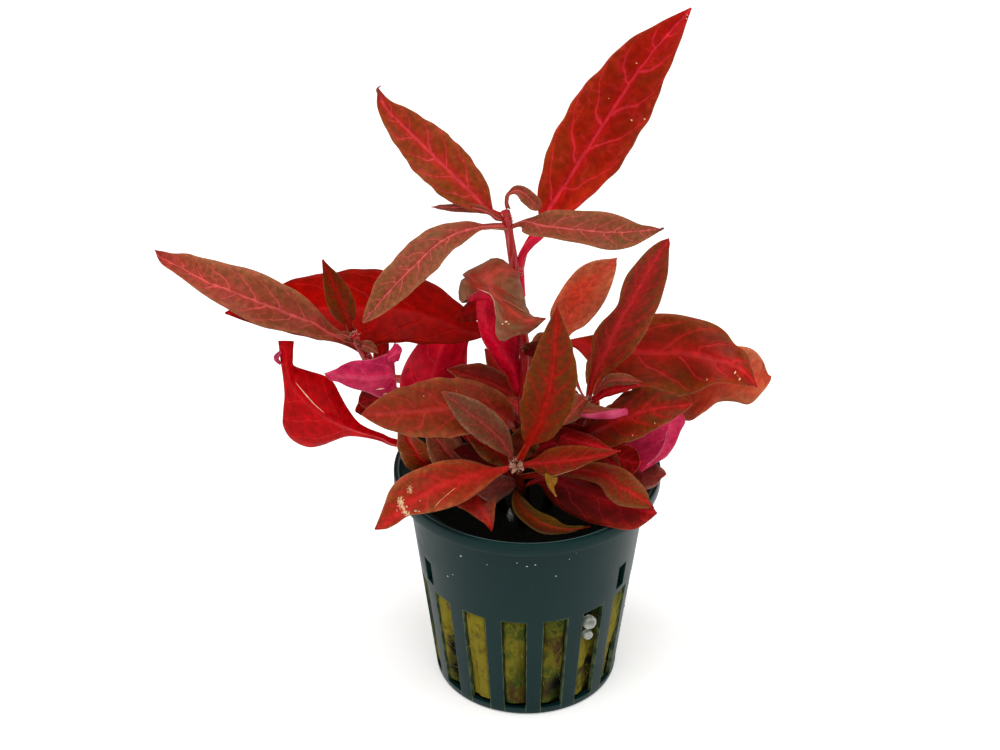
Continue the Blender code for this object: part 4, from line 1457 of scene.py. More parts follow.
@dataclass
class Leaf(Blade):
    """A leaf by its midrib in millimetres, from the stem's axis to the tip, its outline and fold.

    A lobe is a share along the blade, a side of -1 or 1, a width in millimetres and a reach.
    """

    width: float
    _: KW_ONLY
    midrib: list[Point]
    face: Point = FRONT
    face_tip: Optional[Point] = None
    widest: float = 0.42
    stalk_width: float = 1.2
    tip_width: float = 0.3
    keel: float = 0.12
    taper: float = 1.7
    waves: float = 3.5
    foot: float = 0.7
    lobes: tuple[tuple[float, int, float, float], ...] = ()
    line: Route = field(init=False)

    def __post_init__(self) -> None:
        """Lays the midrib."""
        self.line = Route(self.midrib)
        self.length = self.line.length - self.foot * MM
        self.breadth = self.width

    def half_width(self, share: float, side: float) -> float:
        """Half the blade's width on one side, in metres.

        Args:
            share: How far along the leaf, from 0 at the stem to 1 at the tip.
            side: Below 0 on one side and above 0 on the other.

        Returns:
            The distance from the midrib to the margin.
        """
        stalk = (self.stalk_width + (self.tip_width - self.stalk_width) * share) / 2
        blade = min(1.0, max(0.0, (share - self.stalk) / (1 - self.stalk)))
        rise = (blade / self.widest) ** (self.taper * self.widest)
        fall = ((1 - blade) / (1 - self.widest)) ** (self.taper * (1 - self.widest))
        body = self.width / 2 * rise * fall
        for where, which, size, reach in self.lobes:
            if which * side > 0:
                body += size * hump(share, where, reach) * min(1.0, body)
        ripple = 1 + 0.024 * math.sin(share * 31 + self.phase + side) \
            + 0.016 * math.sin(share * 67 + self.phase * 3)
        return math.hypot(stalk, max(0.0, body) * ripple) * MM

    def frame_at(self, share: float) -> tuple[Vector, Vector, Vector]:
        """The place on the midrib, the way across the blade and the way out of its upper side.

        Args:
            share: The share along.

        Returns:
            The place and the two directions.
        """
        distance = self.foot * MM + share * self.length
        along = self.line.heading(distance)
        look = Vector(self.face)
        if self.face_tip:
            look = look.lerp(Vector(self.face_tip), share)
        across = look.cross(along).normalized()
        return self.line.at(distance), across, along.cross(across)

    def skin_point(self, share: float, side: float) -> tuple[Vector, float]:
        """A point of the blade's upper skin, and how far it lies from the midrib in metres.

        Args:
            share: The share along.
            side: The share across, from -1 to 1.

        Returns:
            The point and the distance.
        """
        place, across, out = self.frame_at(share)
        half = self.half_width(share, side)
        reach = abs(side)
        lift = self.keel * reach * half
        swing = math.sin(2 * math.pi * self.waves * share + self.phase + (1.9 if side > 0 else 0.0))
        lift += self.wave * MM * swing * reach ** 1.6 * smooth_step(0.05, 0.3, share) \
            * smooth_step(1.0, 0.8, share)
        lift -= self.groove * MM * hump(side * half, 0.0, self.rib_reach * MM)
        return place + across * side * half + out * lift, side * half


@dataclass
class Sheet(Blade):
    """A folded or twisted leaf by rows, from its foot to its tip.

    A row is a point on one margin, one on the midrib and one on the other margin, in
    millimetres, or the one point where they meet.
    """

    _: KW_ONLY
    rows: list[tuple[float, ...]]
    under: Under = Under.CRIMSON
    wave: float = 0.15
    stalk: float = 0.05
    thickness: float = 0.6
    rails: list[list[Vector]] = field(init=False)

    def __post_init__(self) -> None:
        """Lays the three rails and measures the leaf."""
        self.rails = [[Vector(row[start:start + 3] or row) for row in self.rows]
                      for start in (0, 3, 6)]
        left, middle, right = self.rails
        self.length = sum((after - before).length for before, after in zip(middle, middle[1:])) * MM
        self.breadth = max((last - first).length for first, last in zip(left, right))

    def rail(self, index: int, share: float) -> Vector:
        """The point of one rail at a share of the rows, in metres.

        Args:
            index: 0, 1 or 2 for the first margin, the midrib or the second margin.
            share: The share along.

        Returns:
            The point.
        """
        rail = [point * MM for point in self.rails[index]]
        place = min(max(share, 0.0), 1.0) * (len(rail) - 1)
        start = min(int(place), len(rail) - 2)
        before = rail[start - 1] if start else rail[0] * 2 - rail[1]
        after = rail[start + 2] if start + 2 < len(rail) else rail[-1] * 2 - rail[-2]
        return Route.between(before, rail[start], rail[start + 1], after, place - start)

    def skin_point(self, share: float, side: float) -> tuple[Vector, float]:
        """A point of the upper skin, and how far it lies from the midrib in metres.

        Args:
            share: The share along.
            side: The share across, from -1 to 1.

        Returns:
            The point and the distance.
        """
        left, middle, right = (self.rail(index, share) for index in range(3))
        place = left * (side * (side - 1) / 2) + middle * (1 - side * side) \
            + right * (side * (side + 1) / 2)
        ahead = self.rail(1, share + 0.02) - self.rail(1, share - 0.02)
        out = ahead.cross(right - left)
        if out.length > 0:
            place += out.normalized() * self.wave * MM * abs(side) \
                * math.sin(share * 19 + self.phase + side * 2.2) * smooth_step(0, 0.2, share)
        return place, side * ((right - middle).length if side > 0 else (left - middle).length)


def tall_stem_leaves() -> Iterator[Blade]:
    """The leaf pairs of the tallest cutting, from its tip down.

    Returns:
        Each of them in turn.
    """
    yield Leaf("top_left", "red", Upper.WARM_RED, 9.8, face=(0.2, -0.85, 0.5), stalk=0.08,
        midrib=[
        (-4, 0, 109), (-7.2, 0.5, 110.1), (-11.4, 1.5, 114.1), (-16.2, 3, 118.6), (-21.2, 5, 123.2),
        (-27.2, 7, 129), (-28.9, 8, 132.8)])
    yield Sheet("top_right", "olive", Upper.ROSY_OLIVE, wave=0.25, rows=[
        (-3.9, -0.6, 106.8, -3.9, -0.4, 107.1, -3.9, -0.2, 107.5),
        (-1.7, -2, 108.2, -1.2, -1.4, 109.1, -0.4, -0.8, 109.4),
        (-1.2, -4.4, 108.2, 0.4, -3, 109.7, 1.5, -1, 110.4),
        (0.5, -6.4, 108.7, 2.3, -4.4, 109.9, 3.6, -1.6, 111.4),
        (3.7, -8.4, 109.7, 5.1, -6.2, 110.5, 6.5, -3, 112.4),
        (7.1, -10.6, 110, 8.5, -8, 111.1, 9.7, -4.6, 113.4),
        (10.5, -12.4, 110.2, 11.9, -9.6, 111.6, 12.9, -6.2, 114.1),
        (13.9, -13.8, 110.1, 14.8, -11, 112.2, 15.7, -8, 114.5),
        (16.6, -14.6, 110.5, 17.4, -12.2, 112.8, 18, -10, 114.8),
        (19.8, -15.2, 111.6, 20, -13.4, 113.7, 20.6, -11.8, 114.5),
        (22.2, -15, 113, 22.4, -14, 114.3, 22.8, -13, 114.6),
        (24.7, -14, 114.4)])
    yield Leaf("top_drooping", "olive", Upper.ROSY_OLIVE, 7.6, face=(-0.2, -0.65, 0.74),
        face_tip=(-0.5, -0.8, 0.3), stalk=0.16, widest=0.52, taper=1.75, light=1.08, midrib=[
        (-3.5, 0, 107.3), (-7.5, -3, 109), (-12.2, -6.2, 109.9), (-17, -9.5, 109.2),
        (-22.1, -13, 105.8), (-26.5, -15, 101.8), (-31.9, -16.5, 95.4)])
    yield Sheet("top_small", "olive", Upper.ROSY_OLIVE, light=0.95, rows=[
        (-5, -0.4, 109.3, -5.2, -0.6, 108.9, -5.4, -0.6, 108.5),
        (-6.7, -0.6, 110.4, -6.6, -1, 109.8, -6.4, -1.2, 109.2),
        (-8.8, -0.4, 111.8, -8.5, -0.8, 111.1, -8.2, -1, 110.4),
        (-11.6, 0.4, 112, -11.6, 0, 111.3, -11.5, -0.4, 110.4),
        (-15.2, 2, 111, -15.2, 1.6, 110.4, -15.2, 1.4, 109.6),
        (-17.5, 4, 109.6, -17.5, 3.8, 109.3, -17.5, 3.6, 109),
        (-19.1, 5.4, 108.5)])
    yield Leaf("top_young", "olive", Upper.ROSY_OLIVE, 3, face=(-0.4, -0.8, 0.5), keel=0.4,
        light=1.1, wave=0.1, thickness=0.3, stalk_width=0.8, widest=0.66, stalk=0.3, midrib=[
        (-3.9, 0, 110.4), (-4.4, -0.5, 112.8), (-3.8, -0.9, 115), (-1.6, -1.6, 115.8),
        (2.3, -3, 112.6)])
    # The shade mark at its foot (0.08) is painted light on the stalk, which lies in shade.
    yield Leaf("tall_big", "red", Upper.DEEP_RED, 14.6, face=(-0.2, -0.87, 0.45), stalk=0.17,
        widest=0.43, light=1.08, blushes=((0.32, -0.85, 0.14, 0.4, 0.5), (0.9, 0, 0.1, 1, 0.5)),
        shades=((0.08, 0, 0.1, 2, 0.35), (0.62, -0.4, 0.3, 0.6, -0.18),
            (0.32, -0.85, 0.14, 0.4, 0.35), (0.34, 0.85, 0.14, 0.35, 0.25),
            (0.7, 0.3, 0.2, 0.5, -0.15)),
        specks=((0.605, -0.6, 0.22), (0.63, -0.88, 0.18), (0.965, -0.75, 0.18), (0.975, -0.5, 0.16),
            (0.62, 0.25, 0.14), (0.76, 0.2, 0.16)), midrib=[
        (-1.9, 0, 97), (-0.6, 1.5, 101.5), (3.4, 4, 107.6), (9.6, 6, 117.8), (16.2, 9, 128),
        (22.3, 12, 136.8), (30.9, 16, 146)])
    yield Sheet("tall_curled", "olive", Upper.MOTTLED, under=Under.WINE, wave=0.3,
        blushes=((0.2, -0.3, 0.06, 0.3, 0.7), (0.26, -0.62, 0.03, 0.16, 0.9),
            (0.45, -0.3, 0.03, 0.2, 0.9), (0.55, 0.3, 0.03, 0.14, 0.8),
            (0.68, -0.15, 0.04, 0.18, 0.9), (0.9, -0.3, 0.04, 0.3, 0.6),
            (0.3, 0.3, 0.05, 0.25, 0.8), (0.36, -0.65, 0.06, 0.25, 0.7), (0.5, 0.1, 0.05, 0.3, 0.7),
            (0.62, -0.4, 0.05, 0.2, 0.6), (0.8, 0.1, 0.05, 0.3, 0.7)),
        shades=((0.42, 0.4, 0.16, 0.5, -0.15), (0.85, 0, 0.2, 1.2, 0.15)),
        specks=((0.758, -0.8, 0.2), (0.75, -0.68, 0.32), (0.765, -0.62, 0.16)), rows=[
        (-2.3, -1.9, 97.8, -2, -1.9, 98, -1.7, -1.9, 97.5),
        (-4.7, -2.2, 100.8, -3.4, -3, 99.3, -1.7, -2.6, 96.7),
        (-7, -2.8, 101.7, -5.3, -4.6, 100, -1.4, -4, 96.2),
        (-9.1, -3.6, 100.9, -6.8, -6.2, 99.9, -1.1, -5.6, 95.5),
        (-11.9, -4.6, 100, -7.6, -7.6, 99.1, -0.7, -7.2, 94.6),
        (-12.9, -4.9, 99.2, -7.6, -7.9, 98.9, -0.6, -7.5, 94.4),
        (-12.4, -5.1, 98.7, -7.6, -8.2, 98.7, -0.5, -7.8, 94.2),
        (-13.1, -5.3, 98.2, -7.5, -8.5, 98.4, -0.4, -8.1, 94),
        (-13.4, -5.7, 97.5, -7.5, -8.8, 98.2, -0.3, -8.4, 93.9),
        (-13.7, -6.6, 96.1, -6.8, -9.8, 97.4, 0.1, -9.2, 93.3),
        (-13.1, -7.6, 94.3, -5.8, -10.6, 97, 0.2, -9.8, 93.2),
        (-10, -9.6, 98.7, -4.8, -11.2, 96.4, 0.5, -10.4, 93.4),
        (-7.5, -10.8, 98.3, -3.7, -11.9, 95.7, 1, -11.2, 93.7),
        (-6.6, -11.8, 96.4, -2.4, -12.4, 94.9, 1.5, -11.9, 94),
        (-6.4, -12.6, 93.7, -1.2, -12.8, 94.1, 1.9, -12.3, 94.1),
        (-6.5, -13.2, 91.1, -0.2, -13.1, 93.6, 2.3, -12.7, 94.2),
        (-5.2, -13.6, 89.2, 0.7, -13.3, 93.6, 2.6, -13, 94.4),
        (-2.4, -13.6, 90.7, 1.5, -13.3, 93.7, 2.8, -13.1, 94.3),
        (0.2, -13.5, 91.1, 2.3, -13.3, 94, 3, -13.2, 94.4),
        (3.2, -13.3, 94.3, 3.2, -13.3, 94.3, 3.2, -13.3, 94.4)])
    yield Leaf("mid_left", "red", Upper.SMOOTH_RED, 15, face=(0, -0.78, 0.63), stalk=0.12,
        widest=0.45, shades=((0.25, 0, 0.2, 1.2, -0.15), (0.75, -0.6, 0.2, 0.5, 0.25)), midrib=[
        (-0.9, 1, 80), (-10.6, 2, 81.8), (-23.8, 5, 85), (-37.7, 7, 84.6), (-50, 8, 83.5),
        (-61.1, 8, 82.5)])
    yield Sheet("mid_right", "red", Upper.BROWN_RED, wave=0.5,
        scars=((0.88, -0.5, 0.05, 0.2, 0.6),), blushes=((0.82, -0.3, 0.12, 0.6, 0.8),),
        shades=((0.9, 0, 0.1, 1, 0.15), (0.62, -0.55, 0.12, 0.4, -0.25)),
        specks=((0.86, -0.35, 0.3), (0.72, -0.75, 0.22), (0.9, -0.6, 0.25)), rows=[
        (6.5, 3, 77.8, 6.5, 3, 78.3, 6.5, 3, 78.8),
        (9.5, 3, 77.3, 9.5, 3, 78.5, 9.5, 3.4, 79.3),
        (12.1, 1.5, 75.2, 12.9, 3, 77.1, 13.7, 4, 80),
        (14.5, 0.5, 73.2, 15.7, 3.2, 76.7, 16.5, 5, 81.3),
        (18.2, -0.5, 71.2, 19, 3.2, 76.5, 20.1, 6, 82.3),
        (22.6, -1.5, 69.5, 23.2, 3, 76.4, 25, 6.5, 83.2),
        (26.6, -2, 68.9, 27.4, 2.6, 76.6, 29.4, 6.5, 83.2),
        (30.6, -2.5, 69.3, 31.4, 2, 76.8, 33.4, 6, 82.6),
        (33.9, -3, 70.7, 34.9, 1, 76.9, 37, 5, 82),
        (36.4, -3.2, 72.5, 38.1, 0, 76.6, 39.5, 3.6, 81),
        (39.2, -3.4, 73.1, 41, -1.5, 76.3, 41.5, 2, 78.9),
        (42.4, -4, 73, 43.3, -3, 75.5, 43.8, 0, 77.6),
        (45.8, -4, 72.5)])
    # The narrow dark band across it at 0.62 is a painted shadow line at its fold.
    yield Sheet("mid_crimson", "crimson", Upper.CRIMSON, under=Under.WINE, wave=0.4, light=1.4,
        shades=((0.8, 0.4, 0.2, 0.5, -0.25), (0.3, 0.7, 0.25, 0.5, -0.4),
            (0.3, -0.4, 0.12, 0.5, 0.35), (0.62, 0, 0.06, 1.2, -0.25)), rows=[
        (-2.3, 2, 67.4, -1.8, 2, 67.5, -1.5, 2, 67.6),
        (-4.2, 1.2, 72.4, -3, 0.8, 73.2, -1.6, 1.4, 72.6),
        (-5.8, 0.8, 74.7, -4, 0, 76.1, -1.8, 1, 76.5),
        (-8.2, 0, 79, -5.8, -1.2, 80.5, -1.7, 0.4, 79.7),
        (-9.5, -1.6, 83.8, -7.6, -2.6, 85.1, -1.7, -0.4, 83.5),
        (-10.1, -2.6, 89.3, -8.5, -3.4, 90, -1.9, -1, 86.9),
        (-10.3, -3, 92.5, -8.4, -3.8, 93.1, -5.8, -2.8, 92.6),
        (-9.9, -3.2, 94, -8.6, -3.8, 94.7, -7.2, -3.2, 94.4),
        (-8.9, -3.6, 95.2)])
    yield Leaf("mid_mauve", "dark", Upper.DARK, 6.4, face=UP_FRONT, light=1.5, midrib=[
        (-1, 2, 66.2), (-3.9, 0.5, 68.4), (-7.6, -1.4, 72), (-15.9, -5.4, 77.7)])
    yield Leaf("mid_inner", "dark", Upper.DARK, 5.6, face=FRONT, light=2.4, midrib=[
        (-1, 2, 65), (-4, 4.4, 69.5), (-8.6, 5.6, 75.4)])
    yield Leaf("tall_low", "orange", Upper.FADED_RED, 11.8, face=(0, -0.72, 0.69), stalk=0.1,
        widest=0.58, taper=1.9, light=0.97,
        specks=((0.55, -0.55, 0.12), (0.7, -0.5, 0.14), (0.38, 0.3, 0.12)), midrib=[
        (-0.9, 2.6, 57), (-3, -3.4, 63.6), (-7.4, -8, 69.8), (-12.7, -12.4, 73.4),
        (-22.9, -18.4, 76.2), (-32, -24, 79.3)])


def left_stem_leaves() -> Iterator[Blade]:
    """The leaves of the cutting that leans out to the left.

    Returns:
        Each of them in turn.
    """
    yield Sheet("left_long", "olive", Upper.TAN_RED, wave=0.2, light=1.17,
        blushes=((0.97, 0, 0.12, 3, 0.9), (0.72, 0.3, 0.2, 0.6, 0.25)),
        shades=((1, 0, 0.1, 3, -0.4), (0.3, 0, 0.28, 1.5, -0.26)), rows=[
        (-32.4, -3, 80.2, -32.4, -3.1, 79.7, -32.6, -3.2, 79.3),
        (-34.5, -3.2, 82.7, -34.8, -3.5, 82.2, -35.2, -3.8, 81.6),
        (-36.6, -3, 84.5, -37.2, -3.8, 84, -37.8, -4.4, 83.2),
        (-38.8, -2.4, 86.1, -39.7, -3.8, 85.4, -40.7, -5, 84.2),
        (-41, -1.6, 88.5, -42.2, -3.7, 87.3, -43.6, -5.4, 85.3),
        (-42.9, -0.8, 90.5, -44.8, -3.5, 88.4, -46.3, -5.6, 86.3),
        (-45.5, -0.4, 92.7, -47.7, -3.2, 89.5, -49.4, -5.6, 86.9),
        (-48.1, 0, 94, -50.6, -2.9, 90.7, -52.5, -5.2, 87.6),
        (-51.5, 0.6, 95.8, -53.7, -2.4, 91.8, -55.6, -4.8, 89),
        (-55.1, 1.4, 96.9, -56.9, -1.6, 92.8, -58.8, -3.8, 90.5),
        (-58.5, 2.2, 97.3, -59.9, -0.6, 93.6, -61.9, -2.6, 91.8),
        (-61.9, 3.2, 97.7, -63.1, 0.7, 94.2, -65, -0.8, 93.1),
        (-65, 4.2, 97.8, -66, 2.2, 94.9, -67.8, 1, 94.5),
        (-67.4, 5.2, 98, -68.6, 3.8, 95.7, -70.3, 2.8, 95.4),
        (-70.2, 6.4, 97.4, -71.2, 5.4, 96.1, -72.3, 4.8, 95.6),
        (-72.4, 7.2, 97.4, -73.1, 6.8, 96.4, -73.5, 6.6, 96.1),
        (-74.2, 8, 97.2)])
    yield Leaf("left_dark", "dark", Upper.DEEP_OLIVE, 5.2, face=(0.2, -0.93, 0.3), light=0.72,
        widest=0.36, midrib=[
        (-34.6, -4, 85), (-36.1, -4.3, 90.4), (-37.7, -3.4, 94.8), (-40.1, -2, 100.8)])
    yield Sheet("left_magenta", "crimson", Upper.BROWN_RED, under=Under.MAGENTA, wave=0.4,
        shades=((0.25, -0.8, 0.1, 0.2, -0.35),), rows=[
        (-26.7, -6.4, 72.7, -26.7, -6.6, 73.5, -26.7, -6.4, 74.1),
        (-27.2, -7.2, 72.7, -26.8, -8.2, 78, -26.8, -7.4, 82.3),
        (-29.1, -8.2, 72.9, -28.7, -9.4, 78.4, -28.3, -8.4, 82.7),
        (-31.3, -9.2, 74.5, -31, -10.2, 78.9, -30.5, -9.2, 82.8),
        (-33.5, -10, 75.6, -33.4, -10.8, 79.5, -33, -9.9, 82.6),
        (-35.4, -10.8, 77.2, -35.3, -11.3, 80, -35.4, -10.6, 82.5),
        (-36.9, -11.4, 78.2, -36.8, -11.6, 80.4, -36.6, -11.2, 82.6),
        (-38.4, -11.7, 79, -38, -11.8, 80.6, -37.5, -11.6, 81.5),
        (-39.8, -12, 80.5, -39.9, -12, 80.8, -40, -12, 81)])
    yield Sheet("left_lobe", "crimson", Upper.BROWN_RED, under=Under.MAGENTA, light=1.1,
        rows=[
        (-27.2, -8.4, 83.6, -27.6, -8.6, 82.4, -27.2, -8.4, 81.1),
        (-26.4, -8, 85.2, -26.2, -8.6, 83.5, -26.3, -8.2, 81.2),
        (-25.6, -7.8, 85.1, -25.4, -8.2, 83.5, -25.6, -7.8, 81.4),
        (-25, -7.6, 83.8)])
    yield Leaf("left_maroon", "dark", Upper.CRIMSON, 5.4, face=UP_FRONT, light=1.15, widest=0.6,
        midrib=[
        (-26.4, -1.6, 70), (-28.4, -4.4, 69.4), (-31, -6, 70.8), (-33.7, -7.6, 71.3)])
    yield Leaf("left_inner", "olive", Upper.MAUVE_OLIVE, 7.4, face=(0, -0.86, 0.5), light=1.2,
        midrib=[
        (-8.9, 0.5, 52.6), (-12, -3.6, 53), (-14.3, -6, 55.5), (-17, -10, 61.9),
        (-20.2, -13, 69.5)])
    yield Sheet("left_hanging", "orange", Upper.FRONT_RED, light=0.85,
        blushes=((0.6, -0.5, 0.4, 0.6, 0.8),), shades=((0.2, 0, 0.25, 2, -0.4),), rows=[
        (-12.5, -8, 53.1, -11.3, -7, 53.4, -9.7, -6, 53.2),
        (-12.8, -13, 53.7, -10, -12.6, 54.4, -7.2, -12, 54.5),
        (-14.4, -17, 53.1, -10.4, -16.6, 53.8, -6.3, -16, 53.9),
        (-12.2, -19, 52.7, -9.2, -18.6, 52.8, -6.6, -18, 52.4),
        (-9.8, -20.4, 51.8, -8.1, -20, 51.6, -6.7, -19.8, 51.4),
        (-8.3, -21, 50.6, -7.6, -21, 50.7, -6.9, -20.8, 50.5),
        (-7.3, -21.4, 49.5)])


def front_stem_leaves() -> Iterator[Blade]:
    """The leaves of the short front cutting, whose rosette opens towards the viewer.

    Returns:
        Each of them in turn.
    """
    yield Sheet("front_left", "orange", Upper.FRONT_RED, wave=0.25, light=0.92,
        scars=((0.58, -0.45, 0.03, 0.25, 0.9), (0.66, -0.3, 0.035, 0.3, 1),
            (0.67, 0.3, 0.03, 0.4, 0.9), (0.68, 0.8, 0.03, 0.3, 0.8), (0.61, 0.6, 0.02, 0.14, 1),
            (0.85, 0.85, 0.04, 0.3, 0.8), (0.5, 0.95, 0.06, 0.12, 0.7)),
        shades=((0.8, 0, 0.15, 1, 0.12),),
        specks=((0.6, 0.75, 0.22), (0.55, 0.2, 0.16), (0.71, -0.1, 0.2), (0.64, 0.1, 0.24)), rows=[
        (-3.2, -12.4, 59.4, -3.3, -12.8, 59.1, -3.6, -13, 58.7),
        (-6.4, -14.2, 60.2, -6.8, -15.4, 60, -6.2, -16.8, 59.4),
        (-10, -15.4, 62.1, -9.6, -18.2, 61.2, -8.6, -20.4, 59.5),
        (-13.3, -17.4, 64.1, -12.3, -21, 62.2, -11.3, -24, 59.6),
        (-17.1, -21, 66.4, -16.1, -25, 63.7, -14.2, -28.4, 60.9),
        (-20.9, -25.6, 68, -19.9, -28.6, 64.2, -17.6, -31, 61.6),
        (-24.5, -29, 68.2, -22.8, -31, 63.8, -20.6, -32.6, 62.1),
        (-26.7, -31, 66.7, -25.1, -32.6, 62.7, -23.3, -33.4, 62.2),
        (-27.9, -32.6, 64.1, -27, -33.6, 61.3, -25.5, -34, 60.6),
        (-29, -33.6, 61.5, -28.5, -34.2, 60.3, -27.6, -34.4, 59.6),
        (-29.7, -34, 59.4)])
    yield Leaf("front_inner_left", "olive", Upper.MAUVE_OLIVE, 6.3, face=(0.2, -0.85, 0.48),
        widest=0.48, light=0.93, midrib=[
        (-2.1, -11.4, 57.6), (-5.6, -13.4, 66.4), (-12.2, -17, 75.6), (-16.6, -19.4, 81.4)])
    yield Leaf("front_upright", "olive", Upper.DEEP_OLIVE, 10.2, face=(0, -0.97, 0.24),
        stalk=0.14, widest=0.4, midrib=[
        (-2.2, -12, 59), (0.2, -13.6, 65.6), (2.3, -14.6, 71.2), (4.2, -16.5, 81), (4.9, -18, 90),
        (5.2, -20, 101)])
    yield Sheet("front_right", "orange", Upper.BROWN_RED, wave=0.2, light=0.94,
        scars=((0.5, -1, 0.5, 0.1, 0.95),), rows=[
        (-2.2, -12, 57.9, -2.2, -12, 58.6, -2.2, -12, 59.4),
        (0.4, -13.6, 59.5, 0.8, -13.8, 60.7, 1.2, -13.4, 61.6),
        (2.6, -15.6, 59.2, 3.3, -15.6, 62.2, 4.1, -14.6, 64.8),
        (5.1, -17.6, 60.3, 6, -17.6, 63.9, 7.2, -16, 66.5),
        (8.2, -20, 63.3, 9.1, -20, 65.9, 10.3, -18, 67.9),
        (11.2, -22.4, 66.4, 11.9, -22.4, 68.2, 13, -20.6, 69.2),
        (14.2, -24.8, 69.6, 14.7, -25, 70.7, 15.2, -23.6, 70.9),
        (17.4, -28, 73.6)])
    yield Sheet("front_golden", "orange", Upper.GOLD, light=1.1, rows=[
        (3.7, -15.4, 60.5, 3.9, -15.4, 60.8, 4.1, -15.4, 61),
        (3.3, -16.6, 59.9, 4.5, -17, 60.4, 5.7, -17, 60.4),
        (3.5, -18.4, 59.5, 4.4, -18.8, 59.8, 5.7, -18.6, 59.9),
        (4.1, -20, 58.9, 4.6, -20.4, 59.3, 5.1, -20, 59.3),
        (5.5, -21.8, 58.4)])
    yield Sheet("front_violet", "dark", Upper.VIOLET, light=1.1, rows=[
        (-1.8, -9.2, 53, -1.8, -9.2, 52.7, -1.8, -9.2, 52.5),
        (-4, -12, 56.4, -4.2, -12.4, 54.7, -4.4, -12.6, 51.7),
        (-6.6, -14.6, 58.7, -6.8, -15.4, 56.4, -6.6, -15.6, 52.3),
        (-9, -17, 59, -9, -17.8, 57.1, -8.6, -18, 54.8),
        (-10.7, -19.4, 57.8)])
    yield Sheet("mouth_olive", "olive", Upper.OLIVE_GOLD, light=0.7,
        blushes=((0.6, -0.5, 0.5, 0.3, 0.9),),
        shades=((0.6, -0.7, 0.5, 0.5, -0.65), (0.1, 0, 0.25, 1, -0.5)), rows=[
        (-2.8, -9, 50.6, -2.5, -9, 50.8, -2.2, -9, 50.8),
        (-3.2, -13.6, 51.9, -2.1, -12.6, 51.4, -0.9, -11, 50.3),
        (-2.8, -17.6, 52.1, -1.1, -16, 51.2, 0.8, -14.2, 50.5),
        (-1.4, -20.4, 51.6, 0.7, -18.6, 51.1, 3, -16.4, 50.6),
        (0.8, -22, 50.8, 3, -20.2, 50.5, 5.2, -18, 50.3),
        (3.5, -23, 50.1, 5.3, -21.2, 50.3, 7, -19.4, 50),
        (6.5, -22.6, 49.7, 7.9, -21.2, 49.9, 9.2, -20, 49.9),
        (9.5, -21.4, 49.7, 10.3, -20.8, 49.8, 11, -20.2, 49.9),
        (12.4, -19.8, 49.5)])
    # The pink streak along its middle (blush and shade at 0.5) is a painted highlight, and the lift
    # at its tip (0.9) is painted light.
    yield Sheet("rim_crimson", "crimson", Upper.CRIMSON, wave=0.3, light=0.84,
        blushes=((0.5, -0.1, 0.16, 0.25, 1),),
        shades=((0.9, -0.5, 0.14, 0.9, 1.1), (0.3, 0, 0.2, 1.2, -0.3), (0.5, -0.1, 0.12, 0.2, 0.35),
            (0.62, -0.9, 0.2, 0.3, 0.5)), rows=[
        (-0.7, -7.6, 50.3, -0.3, -7.6, 51.1, 0.1, -7.4, 51.7),
        (2.1, -8.6, 52, 3.7, -8.6, 53.5, 5.3, -7.6, 54.6),
        (3.7, -11, 51, 7.5, -11, 53.7, 10.5, -9.4, 55.6),
        (6.1, -13.6, 49.9, 11.1, -13.6, 53.6, 14.5, -11.6, 55.6),
        (9.5, -16.4, 49.5, 14.4, -16.2, 53.9, 17.8, -14, 55.9),
        (12.8, -19, 49.8, 17.3, -18.6, 54.5, 20.5, -16.4, 56.4),
        (16.1, -21.8, 50.8, 19.9, -21, 55.3, 22.6, -19, 56.8),
        (19.5, -25, 52.6, 22.4, -23.6, 56.2, 24, -21.4, 57),
        (22.6, -25.4, 54.1, 23.9, -24.6, 56.7, 24.6, -23.4, 57.2),
        (25.3, -24.4, 56.3)])
    yield Sheet("rim_olive", "olive", Upper.OLIVE, light=0.9,
        blushes=((0.35, 0, 0.25, 1, 0.5),),
        shades=((0.8, 0.4, 0.2, 0.9, 0.3), (0.3, 0, 0.3, 2, -0.35)), rows=[
        (-1.8, -9.4, 53.6, -1.8, -9.4, 54.1, -1.8, -9.4, 54.6),
        (3, -12.6, 56.6, 3, -12.6, 57.3, 3, -12.6, 58.3),
        (7.5, -16, 59.2, 7.9, -16, 60.6, 8.3, -15.4, 61.7),
        (11.8, -19.6, 60.6, 12.5, -19.4, 62.4, 13.5, -18.4, 64.2),
        (14.1, -21.8, 60.9, 15.4, -21.6, 63.1, 17.4, -20, 64.4),
        (15.4, -23.8, 59.8, 17.3, -23.4, 62.4, 19.7, -22, 64.4),
        (17.5, -25.4, 58.9, 19.4, -25, 62, 21.4, -24, 63.8),
        (20.4, -26.8, 59.3, 21.7, -26.6, 61.5, 22.9, -26, 62.7),
        (22.9, -27.8, 59.8, 23.4, -27.6, 60.8, 23.6, -27.2, 61.3),
        (24, -28, 60.1)])
    yield Leaf("front_purple", "dark", Upper.DARK, 7.4, face=UP_FRONT, light=0.65, midrib=[
        (-1.6, -8.3, 51.4), (-4.4, -8, 55), (-9.6, -9.4, 58.8), (-14.8, -13, 63.4)])
    yield Leaf("front_low_olive", "olive", Upper.OLIVE, 5.6, face=FRONT, light=0.75, midrib=[
        (-1.9, -10.2, 55), (-5, -10.8, 60.6), (-8, -12.4, 64), (-12, -15, 68.2)])


